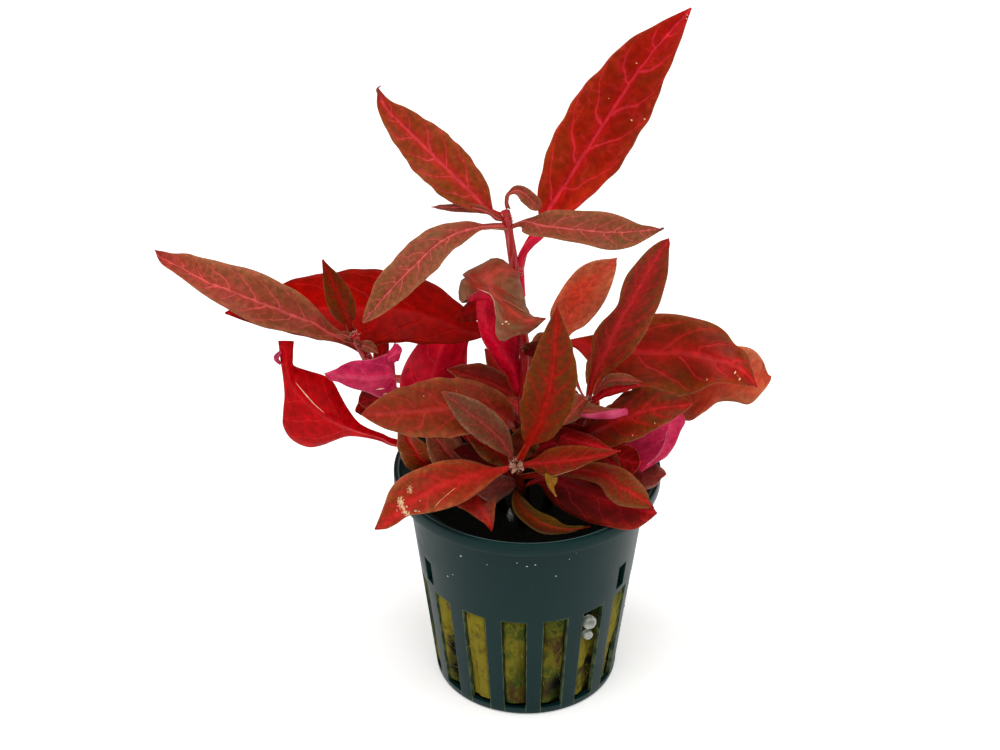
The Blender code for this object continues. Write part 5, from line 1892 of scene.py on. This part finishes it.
def inner_leaves() -> Iterator[Blade]:
    """Small leaves inside the bush, which have no solid of their own.

    Returns:
        Each of them in turn.
    """
    yield Leaf("inner_wine", "dark", Upper.DARK, 9, face=UP_FRONT, midrib=[
        (-0.8, 1.6, 62), (3, -1.5, 65.6), (7.4, -4.6, 68.2), (12.4, -8.4, 68.8)])
    yield Leaf("inner_maroon", "dark", Upper.DARK, 4.4, face=(0.2, -0.8, 0.5), light=0.8,
        midrib=[
        (-0.4, 0.4, 77), (0.8, -2.2, 79.6), (2.4, -3.2, 81.6), (3.8, -3.6, 82.2)])
    yield Leaf("inner_sliver", "crimson", Upper.CRIMSON, 1.8, face=FRONT, light=1.6, midrib=[
        (12.5, -4.2, 69), (15.5, -7, 73.2), (18.5, -9.5, 75.8), (21.7, -11.5, 77.8)])
    yield Sheet("inner_mauve", "dark", Upper.DARK, light=1.2, rows=[
        (-0.9, 0, 60.9, -0.5, 0, 60.2, -0.3, 0, 59.4),
        (-3.6, -2.6, 67.5, -4, -4, 66.3, -4.2, -3.4, 62.7),
        (-7, -4.4, 70.4, -7.6, -6, 69.5, -8.4, -5.6, 66.1),
        (-11, -6.4, 73.2, -11.6, -7.6, 72.3, -12.4, -7.4, 69.8),
        (-15.1, -9, 76.1)])
    yield Sheet("inner_crimson", "crimson", Upper.CRIMSON, light=1.3, rows=[
        (0.7, -2, 53.4, 0.5, -1, 54.7, 0.5, 0, 56),
        (3.8, -4, 54.3, 3.5, -3, 57.8, 3.5, -2, 61.3),
        (7, -5, 55.5, 7, -4, 59.2, 6.9, -3, 63.2),
        (10.2, -6, 58.1, 10.4, -5, 60.6, 10.5, -4, 63.4),
        (13.1, -6, 62.5)])
    yield Sheet("inner_claret", "crimson", Upper.SMOOTH_RED, light=0.7, rows=[
        (-26.3, -2.6, 70.7, -26.3, -2.8, 69.8, -26.7, -3, 69),
        (-28.8, -3.6, 71.2, -28.8, -4, 70.1, -29.3, -4.2, 69.1),
        (-31.2, -4.6, 71.5, -31.2, -5.2, 70, -31.4, -5.4, 68.2),
        (-33, -5.6, 70.5, -33.2, -6, 69.1, -33.2, -6.2, 67.3),
        (-34, -6, 69.9, -34.1, -6.3, 68.8, -33.9, -6.4, 67.6),
        (-34.6, -6.4, 68.6)])
    yield Sheet("inner_fold", "crimson", Upper.SMOOTH_RED, light=0.85, rows=[
        (-9.3, -3.4, 94.4, -9.5, -3, 90.9, -9.7, -2.6, 87.4),
        (-11.3, -3, 92.5, -11.5, -2.6, 89.7, -11.7, -2.2, 86.7),
        (-13.1, -2.6, 90, -13.3, -2.4, 88.5, -13.5, -2, 86.6),
        (-14.5, -2, 88)])
    yield Sheet("inner_stalk", "crimson", Upper.SMOOTH_RED, light=1.0, rows=[
        (-28.6, 9.6, 69.3, -30.2, 9.6, 69.3, -31.6, 9.6, 69.3),
        (-28.3, 10, 71.9, -29.9, 10, 72.2, -31.6, 10, 72.4),
        (-28.5, 10.4, 74.6, -30.1, 10.4, 75, -32.1, 10.4, 74.6),
        (-30.5, 10.8, 77.2)])
    yield Leaf("inner_shade", "dark", Upper.OLIVE, 6, face=FRONT, light=0.6, midrib=[
        (-1.5, -6, 53.7), (-1.3, -5, 57.4), (-0.3, -4.6, 61.1), (0.4, -4, 64.6)])
    yield Leaf("inner_red", "dark", Upper.BROWN_RED, 7.6, face=UP_FRONT, light=0.55, midrib=[
        (8.6, 0, 57), (10.8, -5.6, 60.4), (13.6, -11, 62.2), (18.4, -16.4, 61)])


def bracts() -> Iterator[Blade]:
    """The papery scales at the nodes, rosy on the left cutting and pale on the others.

    Returns:
        Each of them in turn.
    """
    spots = (
        ((-2.3, -12.6, 59.3), (-3.7, -14, 60), 0.7), ((-2.2, -12.8, 59.5), (-1.3, -14, 60.6), 0.6),
        ((-2.4, -12.9, 59.2), (-3.2, -14.6, 59), 0.6), ((-2, -12.9, 59.2), (-1, -14.2, 59.4), 0.6),
        ((-34.4, -4.6, 84), (-37.6, -6, 86.4), 1.6), ((-33.6, -4.4, 83), (-29.6, -6, 81.8), 2.4),
        ((-34.4, -4.6, 83.6), (-36.4, -6, 84.6), 0.8), ((-33.4, -4.6, 82), (-34, -6.4, 85), 1.1),
        ((12.2, -4.4, 69.2), (11.2, -5.6, 70.4), 0.7),
        ((-4.5, -0.4, 108.8), (-5.2, -1, 110.4), 0.6))
    for number, (first, last, width) in enumerate(spots, 1):
        middle = tuple((a + b) / 2 + 0.2 for a, b in zip(first, last))
        upper = Upper.ROSY_OLIVE if first[0] < -30 else Upper.BRACT
        yield Leaf(f"bract_{number}", "olive", upper, width, midrib=[first, middle, last],
                   under=Under.MAGENTA, face=UP_FRONT, stalk=0.02, foot=0.0, stalk_width=0.5,
                   widest=0.4, wave=0.1, thickness=0.25, light=0.9)


def right_stem_leaves() -> Iterator[Blade]:
    """The leaves of the cutting on the right, whose tip stands over the rim.

    Returns:
        Each of them in turn.
    """
    yield Sheet("right_tall", "olive", Upper.BROWN_RED, wave=0.25, light=1.04,
        blushes=((0.55, 0, 0.14, 0.35, 0.8), (0.75, 0.1, 0.1, 0.35, 0.7)),
        shades=((0.3, 0.4, 0.2, 0.4, -0.2),), rows=[
        (12.5, -4, 69.4, 12.1, -4, 69.2, 11.7, -4, 69.2),
        (13.8, -4.8, 74.6, 12.9, -4.3, 75.1, 12.3, -4.8, 76.6),
        (16.9, -5, 77.3, 14, -4.5, 78.2, 12.4, -5, 80.2),
        (20.2, -5.2, 80.9, 15.6, -4.7, 81.8, 12.5, -5.2, 83.8),
        (21.6, -5.4, 83.6, 16.8, -4.9, 85.3, 13, -5.4, 86.2),
        (23, -5.6, 86.3, 18.1, -5.1, 88.9, 14.5, -5.6, 89.1),
        (24.4, -5.9, 89.9, 19.4, -5.4, 91.6, 15.9, -5.9, 90.8),
        (25.5, -6.1, 93.1, 20.6, -5.6, 94.2, 17.4, -6.1, 93.1),
        (26.3, -6.4, 97.2, 21.7, -5.9, 97.2, 17.9, -6.4, 96.4),
        (26.8, -6.7, 100.4, 23, -6.2, 100.4, 18.8, -6.7, 100),
        (26.9, -6.9, 103.3, 24.3, -6.5, 103.3, 20.5, -6.9, 102.9),
        (26.9, -7.1, 105.9, 25.5, -6.8, 106, 22.8, -7.1, 105.9),
        (26.9, -7.1, 107.2, 26.3, -6.9, 107.3, 25, -7.1, 107.7),
        (26.7, -7, 108.4)])
    yield Sheet("right_small", "olive", Upper.MAUVE_OLIVE, light=1.15, rows=[
        (12.1, -3.7, 68.3, 12.1, -3.7, 68.5, 12.1, -3.7, 68.7),
        (13.8, -5, 71, 14, -5.2, 71.9, 14, -4.6, 72.7),
        (15.5, -6.6, 74, 15.6, -7, 75.7, 15.4, -6, 76.5),
        (17.5, -8.6, 75.8, 17.7, -9, 77.5, 17.7, -7.6, 78.2),
        (19.8, -10.4, 77.2, 19.9, -10.6, 78.5, 20, -9.6, 79),
        (22.2, -12.2, 79)])
    yield Sheet("right_back", "orange", Upper.ORANGE, wave=0.3, light=1.38,
        blushes=((0.72, 0.2, 0.1, 0.5, 0.9), (0.62, 0.4, 0.12, 0.6, 0.6)),
        shades=((0.15, 0, 0.3, 3, -0.6), (0.97, 0, 0.1, 2, -0.12)), rows=[
        (12.1, -3.4, 68.5, 11.9, -3.4, 68.4, 11.7, -3.4, 68.5),
        (10.1, 0, 70.6, 9.9, 0, 70.5, 9.6, 0, 70.4),
        (9.1, 2.5, 72.4, 8.9, 2.5, 72.1, 8.5, 2.5, 72),
        (7.9, 4.5, 74.7, 7.5, 4.5, 74.5, 7.1, 4.5, 74.2),
        (7.8, 6, 76.4, 6.8, 6, 76.4, 5.9, 6, 76.6),
        (9, 7.4, 78.1, 7.2, 7.4, 78.6, 5.1, 7.4, 79.3),
        (11.6, 8.4, 79.3, 8.4, 8.6, 80.7, 4.5, 8.4, 81.9),
        (14.1, 9.2, 81.8, 9.8, 9.6, 83, 5.1, 9.2, 83.9),
        (15.6, 9.8, 84.1, 11.2, 10.2, 85.2, 6.5, 9.8, 86.4),
        (16.7, 10.4, 87, 12.5, 10.8, 87.4, 8.1, 10.4, 88.7),
        (17.4, 11, 89.6, 14.5, 11.3, 89.8, 10.5, 11, 91.4),
        (17.8, 11.5, 91.3, 16.5, 11.7, 91.6, 13.5, 11.5, 92.8),
        (17.9, 12, 93)])
    yield Sheet("right_rolled", "olive", Upper.MAUVE_OLIVE, light=1.15, rows=[
        (11.5, -3.3, 67, 11.7, -3.3, 67.3, 11.9, -3.3, 67.5),
        (10, -8, 68.2, 10.4, -7, 69.3, 11.6, -5, 69.8),
        (11.8, -11, 70, 12.7, -9.6, 70.5, 13.5, -8, 70.9),
        (14.7, -14, 72, 15.1, -12.6, 72.3, 15.4, -11, 72.3),
        (17.3, -16.6, 74, 17.5, -15.6, 74.3, 17.7, -14.6, 74.4),
        (19.1, -18, 75.9)])
    yield Sheet("right_inner", "olive", Upper.MAUVE_OLIVE, light=1.35, rows=[
        (12.1, -2.6, 68, 12.3, -2.6, 67.8, 12.5, -2.6, 67.5),
        (9.8, -5, 71.8, 11.2, -6, 71, 12.4, -5.4, 69.1),
        (7.9, -8, 71.6, 9.5, -9.4, 71.1, 11.3, -8.4, 69),
        (6.9, -11, 71, 8, -12.4, 71, 9.3, -11.4, 69.3),
        (6.6, -14, 69.9)])
    # The shade mark along its upper margin is a painted shadow under mid_right's margin.
    yield Leaf("right_long", "orange", Upper.BROWN_RED, 10.6, face=(0, -0.65, 0.76),
        widest=0.52, lobes=((0.4, 1, -2.6, 0.15),), light=0.86,
        shades=((0.55, 0.8, 0.35, 0.5, -0.45),), specks=((0.78, -0.7, 0.2), (0.62, -0.8, 0.16)),
        midrib=[
        (8.9, -0.5, 57.8), (11.8, -6, 62.6), (17.8, -11, 69.3), (24.2, -14.2, 74),
        (31.8, -16, 76.4)])
    yield Sheet("right_crimson", "crimson", Upper.CRIMSON, light=2.1,
        scars=((0.65, 1, 0.4, 0.1, 0.75),), rows=[
        (7.9, -0.2, 55.8, 8.3, -0.2, 56.1, 8.7, -0.2, 56.3),
        (5.7, -5, 58.9, 6.5, -4.4, 60.7, 7.1, -3.6, 62.4),
        (8.9, -9, 60.7, 9.7, -8, 62.2, 10.5, -7, 63.8),
        (11.9, -13, 62.7, 12.7, -12, 64, 13.5, -11, 65),
        (14.6, -16, 64.8, 15.2, -15.4, 65.4, 15.6, -15, 65.8),
        (17.4, -18, 66.7)])
    yield Sheet("right_dark", "dark", Upper.CRIMSON, light=1.9, rows=[
        (6.9, 0.5, 51.9, 6.9, 0.5, 52.4, 6.9, 0.5, 52.9),
        (12.7, -5, 55, 13.1, -4.4, 56.3, 13.9, -3.4, 57.8),
        (15.8, -8.4, 54.9, 16.8, -7.6, 57.8, 17.8, -6, 60.3),
        (19, -10.6, 55.4, 19.9, -9.6, 58.4, 20.5, -8.4, 61.3),
        (21.1, -12, 56.9, 21.6, -11.4, 59.2, 22, -10.6, 61.3),
        (22.4, -12.6, 60.3)])


def back_leaves() -> Iterator[Blade]:
    """The leaves of the two short cuttings behind, and of the tall one on its far side.

    Returns:
        Each of them in turn.
    """
    yield Sheet("low_left_red", "crimson", Upper.BROWN_RED, wave=0.1, light=0.92,
        shades=((0.45, 0.5, 0.2, 0.4, -0.12), (0.35, -0.7, 0.15, 0.3, 0.2)), rows=[
        (-14.2, 7.2, 49.4, -14.3, 7, 50.2, -14.4, 7, 50.9),
        (-20.6, 7.2, 49.6, -20.6, 7, 50.5, -20.5, 7, 51.3),
        (-27.5, 7, 50.5, -27.5, 6.6, 51.8, -27.4, 6.6, 52.7),
        (-30.7, 5.2, 53.3, -30.4, 4.8, 54.7, -29.8, 4.8, 55.2),
        (-34.1, 3.6, 55.3, -33.5, 3, 57, -32.6, 3.2, 57.7),
        (-37, 2.4, 56.2, -36, 1.6, 59, -34.8, 2.2, 60.2),
        (-39.6, 1.4, 55.8, -38.2, 0.4, 60.9, -36.6, 1.4, 63.8),
        (-42.2, 0.6, 55.2, -40.4, -0.6, 63, -38, 0.8, 67.5),
        (-45.1, 0, 55.3, -42.6, -1.4, 65.3, -39.3, 0.4, 70.9),
        (-48.2, -0.4, 57.5, -44.8, -1.6, 67.8, -41.1, 0.2, 72.6),
        (-49.7, -0.8, 61, -46.7, -1.6, 70.2, -44.1, 0.2, 73.7),
        (-49.5, -1.2, 64.4, -47.7, -1.6, 72.6, -46.5, 0, 74.7),
        (-49, -1.4, 68.4, -48, -1.6, 74.4, -47.1, -0.8, 76),
        (-49.1, -1.2, 73.1, -48.2, -1.4, 76.3, -47, -0.8, 77.6),
        (-49.5, -0.6, 77.1, -48.3, -1, 78.6, -46.9, -0.4, 79.2),
        (-49.8, 0, 80.9, -48.3, -0.4, 81.2, -46.7, 0, 80.9)])
    yield Leaf("low_left_olive", "olive", Upper.OLIVE, 6.8, face=(-0.2, -0.85, 0.5), stalk=0.3,
        light=1.15, midrib=[
        (-12.6, 7.3, 48.2), (-18, 1, 50.4), (-21.1, -4, 54), (-23.3, -9, 61.7), (-25.6, -12, 69)])
    # Its two darkening shade marks are painted shade in its folds.
    yield Sheet("back_left_upright", "crimson", Upper.BROWN_RED, under=Under.WINE, wave=0.7,
        light=1.4, blushes=((0.75, 0.1, 0.1, 0.4, 0.6),),
        shades=((0.42, 0.45, 0.18, 0.5, -0.5), (0.28, -0.3, 0.14, 0.5, -0.25)), rows=[
        (-16.4, 6.5, 54, -16, 6.5, 54, -15.5, 6.5, 54),
        (-19.7, 7.4, 57.4, -16.8, 7, 57.7, -14.3, 7.4, 57.4),
        (-25.4, 9.6, 61.1, -18.8, 8.2, 61.6, -12.8, 9, 60.8),
        (-26.2, 10.4, 64.6, -19.2, 9, 65.5, -12.4, 9.8, 65),
        (-24.9, 11, 68.8, -18.3, 10, 69.5, -12.4, 10.6, 69.1),
        (-22.6, 11.4, 73, -17.1, 10.6, 73.2, -12.2, 11, 72.7),
        (-19.5, 11.8, 75.9, -15.4, 11.2, 76.7, -11.5, 11.4, 76.1),
        (-16.6, 12, 78.9, -14.8, 11.6, 79.8, -12.5, 12, 78.9),
        (-14.3, 12, 82)])
    yield Sheet("right_broad", "orange", Upper.ORANGE, wave=0.5, light=1.15,
        blushes=((0.45, -0.6, 0.1, 0.4, 1), (0.6, 0.2, 0.15, 0.6, 0.5)),
        shades=((0.42, -0.3, 0.16, 1, -0.28), (0.15, 0, 0.2, 2, -0.35)), rows=[
        (15, 7, 58.9, 15, 7, 59.2, 15, 7, 59.7),
        (20, 7.5, 59.2, 19.9, 8, 59.8, 19.7, 9, 60.4),
        (25.3, 6, 59.8, 26.3, 8.4, 63.7, 26.2, 10, 67.5),
        (29.8, 5, 59.3, 31.8, 8, 64.4, 32.3, 10, 69.5),
        (33.3, 3.2, 59.5, 36, 7.5, 65.2, 36.9, 9.5, 72.2),
        (36.3, 4.8, 60.6, 39.5, 7, 66.3, 40.8, 8.5, 74.1),
        (39.1, 5.8, 62.2, 42.5, 6.8, 66.9, 43.6, 7.5, 75),
        (42.2, 4, 63.6, 45.2, 6, 67.9, 45.7, 6.5, 74.6),
        (45.3, 2.2, 64.3, 47, 5, 68.3, 47.6, 5.5, 72.6),
        (47.7, 3.2, 66.4, 48.5, 4.5, 68.9, 48.6, 4.8, 70.9),
        (49.4, 4, 69.7)])
    yield Sheet("right_magenta", "crimson", Upper.BROWN_RED, under=Under.MAGENTA, light=0.9,
        shades=((0.7, 0.6, 0.25, 0.5, -0.2),), rows=[
        (13.4, 6.9, 58.2, 13.4, 6.9, 57.9, 13.4, 6.9, 57.5),
        (19.7, 5, 60.4, 19.7, 5, 60, 19.7, 5, 59.6),
        (24.9, 1.4, 64.9, 24.9, 1.4, 64.1, 24.7, 1.4, 63.4),
        (29.9, -2.4, 66.2, 28.3, -3, 65.6, 25.1, -3.5, 64.7),
        (31.7, -4.2, 64.7, 28.4, -5.5, 64.6, 22.6, -5, 63.3),
        (30.6, -6, 63, 27.9, -7.4, 63.2, 20.2, -6, 61.3),
        (29.4, -7.6, 60.9, 27.1, -9, 61.4, 19.4, -7.5, 59.7),
        (27.8, -9, 59, 25.5, -10.2, 59.6, 20.2, -9, 58),
        (25.6, -9.8, 58.1, 23.9, -10.6, 58.1, 21.8, -10, 57),
        (22.8, -10.4, 56.3)])
    yield Sheet("rim_violet", "dark", Upper.VIOLET, wave=0.3, light=1.85, rows=[
        (10.7, 7.8, 48.3, 10.7, 7.8, 48.6, 10.7, 7.8, 48.9),
        (15.6, 1, 51, 15.6, 1, 51.8, 15.6, 1, 52.5),
        (18.9, -4, 51.3, 19.7, -3.6, 53.2, 20.5, -3, 54.8),
        (20.8, -8, 51.1, 22.4, -7, 53.9, 23.6, -5.5, 55.8),
        (23.1, -10, 51.3, 24.3, -9, 54.3, 25.1, -7, 56.8),
        (25.3, -11, 53, 25.8, -10.5, 55.4, 26.4, -9, 57),
        (26.8, -11.6, 55.2, 27, -11.4, 56.2, 27.3, -10.8, 57),
        (27.7, -11.6, 56.6)])
    yield Leaf("back_middle", "orange", Upper.WARM_RED, 11, face=UP_BACK, midrib=[
        (-0.7, 3.3, 50), (-1, 10, 56), (-3, 20, 60.4), (-6, 29.5, 59.6)])
    yield Leaf("back_right", "red", Upper.BROWN_RED, 6.2, face=(0.2, 0.4, 0.89), midrib=[
        (11.2, 7.8, 51), (16.2, 12, 53.2), (22.2, 17.6, 54.2), (28.4, 22.8, 52.8)])
    yield Leaf("back_left", "red", Upper.BROWN_RED, 10, face=(-0.2, 0.4, 0.89), light=1.2,
        midrib=[
        (-13.4, 7.2, 49.6), (-16.8, 13, 54.4), (-23, 20, 57.6), (-30, 25, 56.6)])
    yield Leaf("back_high", "olive", Upper.OLIVE, 7.6, face=UP_BACK, midrib=[
        (-1.1, 2, 67.6), (1.2, 7.4, 70), (3.8, 13.6, 71.6), (6.4, 21, 71.4)])
    yield Leaf("back_young", "olive", Upper.OLIVE, 7.6, face=UP_BACK, midrib=[
        (14, 6.8, 60), (14.8, 12, 64.4), (17.6, 18.6, 67.4), (20.4, 25.4, 66)])


@dataclass
class Trim:
    """A thin raised line on a leaf: a rolled edge, a glint or a dried tip, in millimetres."""

    name: str
    slot: str
    pale: str
    deep: str
    radii: tuple[float, ...]
    points: list[Point]
    grain: float = 700.0
    step: ClassVar[float] = 0.4

    def build(self) -> None:
        """Makes the line as a tube that thins where its radii do."""
        route = Route(self.points)
        count = max(12, round(route.length / (self.step * MM)))
        radii = self.radii
        line = []
        for index in range(count + 1):
            share = index / count
            place = share * (len(radii) - 1)
            start = min(int(place), len(radii) - 2)
            radius = radii[start] + (radii[start + 1] - radii[start]) * (place - start)
            line.append((route.at(route.length * share), radius))
        add_piece(self.name, tube_mesh(self.name, [line], MM, 3), [],
                  [StrandFinish(self.name, self.pale, self.deep, self.grain, 0.45).material()])


def trims() -> Iterator[Trim]:
    """The rolled edges, glints and dried tips.

    Returns:
        Each of them in turn.
    """
    yield Trim("edge_rolled", "crimson", "cc4c70", "a81c44", (0.2, 0.45, 0.7, 0.95, 0.7),
        grain=180.0, points=[
        (9.7, -9, 69.2), (12.2, -12, 70.9), (15, -15, 73.1), (17.4, -17.6, 75.3),
        (18.9, -18.6, 76.4)])
    yield Trim("edge_magenta", "crimson", "dc7890", "c04060", (0.06, 0.12, 0.14, 0.08),
        points=[
        (27.9, -7.4, 64.2), (27.3, -9.1, 62.2), (26.1, -10.3, 60.4), (23.9, -11, 58.4)])
    yield Trim("glint_low_red", "crimson", "fce0c8", "e8a880", (0.02, 0.13, 0.1, 0.02),
        points=[
        (-46.6, -2, 72.3), (-44.9, -2.5, 70.1), (-43, -2.4, 67.3), (-41.1, -2.1, 65)])
    yield Trim("fleck_low_red", "crimson", "c04060", "a01838", (0.3, 0.6, 0.3), points=[
        (-49.3, -1, 79.1), (-50.3, -1.2, 77.6), (-49.5, -1.4, 76.3)])
    yield Trim("fleck_magenta", "crimson", "f4ccb0", "dc9070", (0.03, 0.15, 0.06), points=[
        (-30.1, -9.8, 75.7), (-29.3, -9.7, 75.8), (-28.5, -9.4, 75.7)])
    yield Trim("fleck_magenta_low", "crimson", "f4ccb0", "dc9070", (0.02, 0.12, 0.04), points=[
        (-28.9, -8.9, 73.9), (-28.2, -8.6, 74), (-27.8, -8.4, 73.6)])
    yield Trim("crease_curled", "olive", "c88868", "a05c44",
        (0.02, 0.07, 0.06, 0.07, 0.08, 0.03), points=[
        (-5.8, -10.3, 97.2), (-5, -10.7, 97), (-4.1, -10.95, 96.6), (-2.9, -11.1, 95.9),
        (-1.35, -11.1, 94.85), (-0.2, -11.2, 94.1)])
    yield Trim("rim_curled", "olive", "d89880", "b06858", (0.03, 0.08, 0.1, 0.09, 0.07, 0.03),
        points=[
        (-10, -9.7, 98.9), (-8.7, -10.4, 98.7), (-7.5, -10.95, 98.4), (-6.8, -11.6, 97.4),
        (-6.6, -12, 96.3), (-6.45, -12.5, 94.6)])
    yield Trim("stalk_tall_big", "red", "e41c44", "c80c30",
        (0.6, 0.6, 0.68, 0.78, 0.85, 0.8, 0.5), points=[
        (-1.1, 0.4, 91.1), (-1.4, 0.4, 95.7), (-1.6, 0.6, 98.8), (-0.9, 0.9, 100.9),
        (0.5, 1.4, 102.6), (2.4, 1.8, 104.2), (3.8, 2.2, 106)])
    yield Trim("crease_front_left", "orange", "e0a070", "b86040", (0.03, 0.1, 0.1, 0.03),
        points=[
        (-14.2, -25.2, 63), (-15.7, -27, 62.7), (-17.2, -29, 62.5), (-18.4, -30.8, 62.1)])
    yield Trim("tip_top_right", "olive", "7c3430", "54201c", (0.3, 0.3, 0.22, 0.1), points=[
        (23.9, -14, 114.2), (24.7, -14, 114.5), (25, -14, 114.8), (25.2, -14, 114.5)])
    yield Trim("tip_top_left", "red", "7c3820", "5c2414", (0.3, 0.22, 0.18, 0.08), points=[
        (-28.7, 7.9, 131.6), (-29.1, 8, 132.4), (-28.9, 7.6, 133.2), (-28.3, 7.4, 133.8)])


@dataclass
class LeafSpecks:
    """The cream specks on the leaves, each a share along, a share across and a size."""

    blades: list[Blade]

    def build(self) -> None:
        """Makes all the specks as one piece of small flat lumps."""
        bm = bmesh.new()
        for blade in self.blades:
            for share, side, size in blade.specks:
                place = blade.skin_point(share, side)[0]
                ahead = (blade.skin_point(share + 0.01, side)[0] - place).normalized()
                aside = (blade.skin_point(share, side + 0.04)[0] - place).normalized()
                out = ahead.cross(aside).normalized()
                made = bmesh.ops.create_icosphere(bm, subdivisions=2, radius=size * MM)
                for vert in made["verts"]:
                    lump = 0.8 + 0.6 * noise.noise(vert.co * 5000 + place * 900)
                    vert.co = place + ahead * vert.co.x * 0.7 * lump \
                        + aside * vert.co.y * 1.3 * lump + out * (vert.co.z * 0.25 + 0.03 * MM)
        add_piece("cream_specks", to_mesh("cream_specks", bm), [],
                  [StrandFinish("cream_speck", "f0d0ac", "cc9870", 900.0, 0.5).material()])


@dataclass
class NodeHairs:
    """The pale hairs that stand round the nodes."""

    tufts: tuple[tuple[Point, float, int], ...] = (
        ((-2.4, -12.6, 59.4), 1.9, 130), ((-1.9, -0.4, 97.2), 1.6, 60),
        ((-3.8, -0.4, 108.8), 1.5, 60), ((-34.4, -4.2, 84.6), 1.5, 50),
        ((-32.3, -3.4, 79.6), 1.5, 40), ((12.3, -4.4, 69.4), 1.6, 60),
        ((-0.8, 0.4, 79.6), 1.5, 40), ((-28.6, -2.4, 71.6), 1.4, 30))
    length: float = 0.6
    radius: float = 0.035
    seed: int = 3

    def build(self) -> None:
        """Makes all the tufts as one piece."""
        chance = random.Random(self.seed)
        lines = []
        for centre, spread, count in self.tufts:
            for _ in range(count):
                way = Vector((chance.gauss(0, 1), chance.gauss(-0.3, 1), chance.gauss(0.5, 0.8)))
                way.normalize()
                start = Vector(centre) * MM + way * spread * 0.55 * MM
                bend = Vector((0, 0, chance.uniform(-0.2, 0.4))) * MM
                long = self.length * chance.uniform(0.6, 1.25) * MM
                lines.append([(start + way * long * share + bend * share ** 2, 1 - 0.85 * share)
                              for share in (0.0, 0.35, 0.7, 1.0)])
        add_piece("node_hairs", tube_mesh("node_hairs", lines, self.radius * MM, 0), [],
                  [StrandFinish("node_hair", "e8cfc0", "c99a88", 600.0, 0.5).material()])


@dataclass
class Studio:
    """The floor, the soft lights and the camera at the photograph's place."""

    camera_place: Point = (-5.6, -438.6, 357.6)
    camera_tilt: float = 57.0
    lens: float = 93.6
    sensor: float = 36.0
    floor_size: float = 8.0
    sky: float = 0.38
    aim: Point = (0.0, 0.0, 0.07)
    lamps: tuple[tuple[str, Point, float, float], ...] = (
        ("top", (-0.04, -0.3, 1.4), 1.25, 18.5), ("left", (-0.9, 0.1, 0.5), 0.6, 1.6),
        ("right", (0.9, 0.1, 0.5), 0.6, 1.6))

    def lamp(self, name: str, place: Point, size: float, power: float) -> None:
        """Adds a square area light that looks at the plant, by its place and width in metres.

        Args:
            name: The lamp's name.
            place: Where it stands.
            size: Its width.
            power: Its power in watts.
        """
        light = bpy.data.lights.new(name, "AREA")
        light.shape = "SQUARE"
        light.size = size
        light.energy = power
        lamp = bpy.data.objects.new(name, light)
        lamp.location = place
        way = Vector(self.aim) - Vector(place)
        lamp.rotation_euler = way.to_track_quat("-Z", "Y").to_euler()
        bpy.context.scene.collection.objects.link(lamp)

    def build(self) -> None:
        """Sets up the floor, the light and the camera."""
        scene = bpy.context.scene
        scene.view_settings.view_transform = "Standard"
        bm = bmesh.new()
        bmesh.ops.create_grid(bm, x_segments=8, y_segments=8, size=self.floor_size / 2)
        floor = bpy.data.objects.new("floor", to_mesh("floor", bm, smooth=False))
        floor.data.materials.append(FloorFinish().material())
        scene.collection.objects.link(floor)
        world = bpy.data.worlds.new("studio")
        world.use_nodes = True
        background = world.node_tree.nodes["Background"]
        background.inputs["Color"].default_value = (1.0, 1.0, 1.0, 1.0)
        background.inputs["Strength"].default_value = self.sky
        scene.world = world
        for lamp in self.lamps:
            self.lamp(*lamp)
        camera = bpy.data.cameras.new("camera")
        camera.lens = self.lens
        camera.sensor_width = self.sensor
        camera.sensor_fit = "HORIZONTAL"
        camera.clip_start = 0.01
        view = bpy.data.objects.new("camera", camera)
        view.location = Vector(self.camera_place) * MM
        view.rotation_euler = (math.radians(self.camera_tilt), 0.0, 0.0)
        scene.collection.objects.link(view)
        scene.camera = view
        log.info("built the studio")


def main() -> None:
    """Builds the studio, the pot and the plant in order."""
    logging.basicConfig(level=logging.INFO, format="%(message)s")
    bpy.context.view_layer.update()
    leaves = [*tall_stem_leaves(), *left_stem_leaves(), *front_stem_leaves(), *right_stem_leaves(),
              *back_leaves(), *inner_leaves(), *bracts()]
    for part in (Studio(), NetPot(), WoolPlug(), *stems(), *leaves, *trims(), LeafSpecks(leaves),
                 NodeHairs()):
        part.build()


if __name__ == "__main__":
    main()
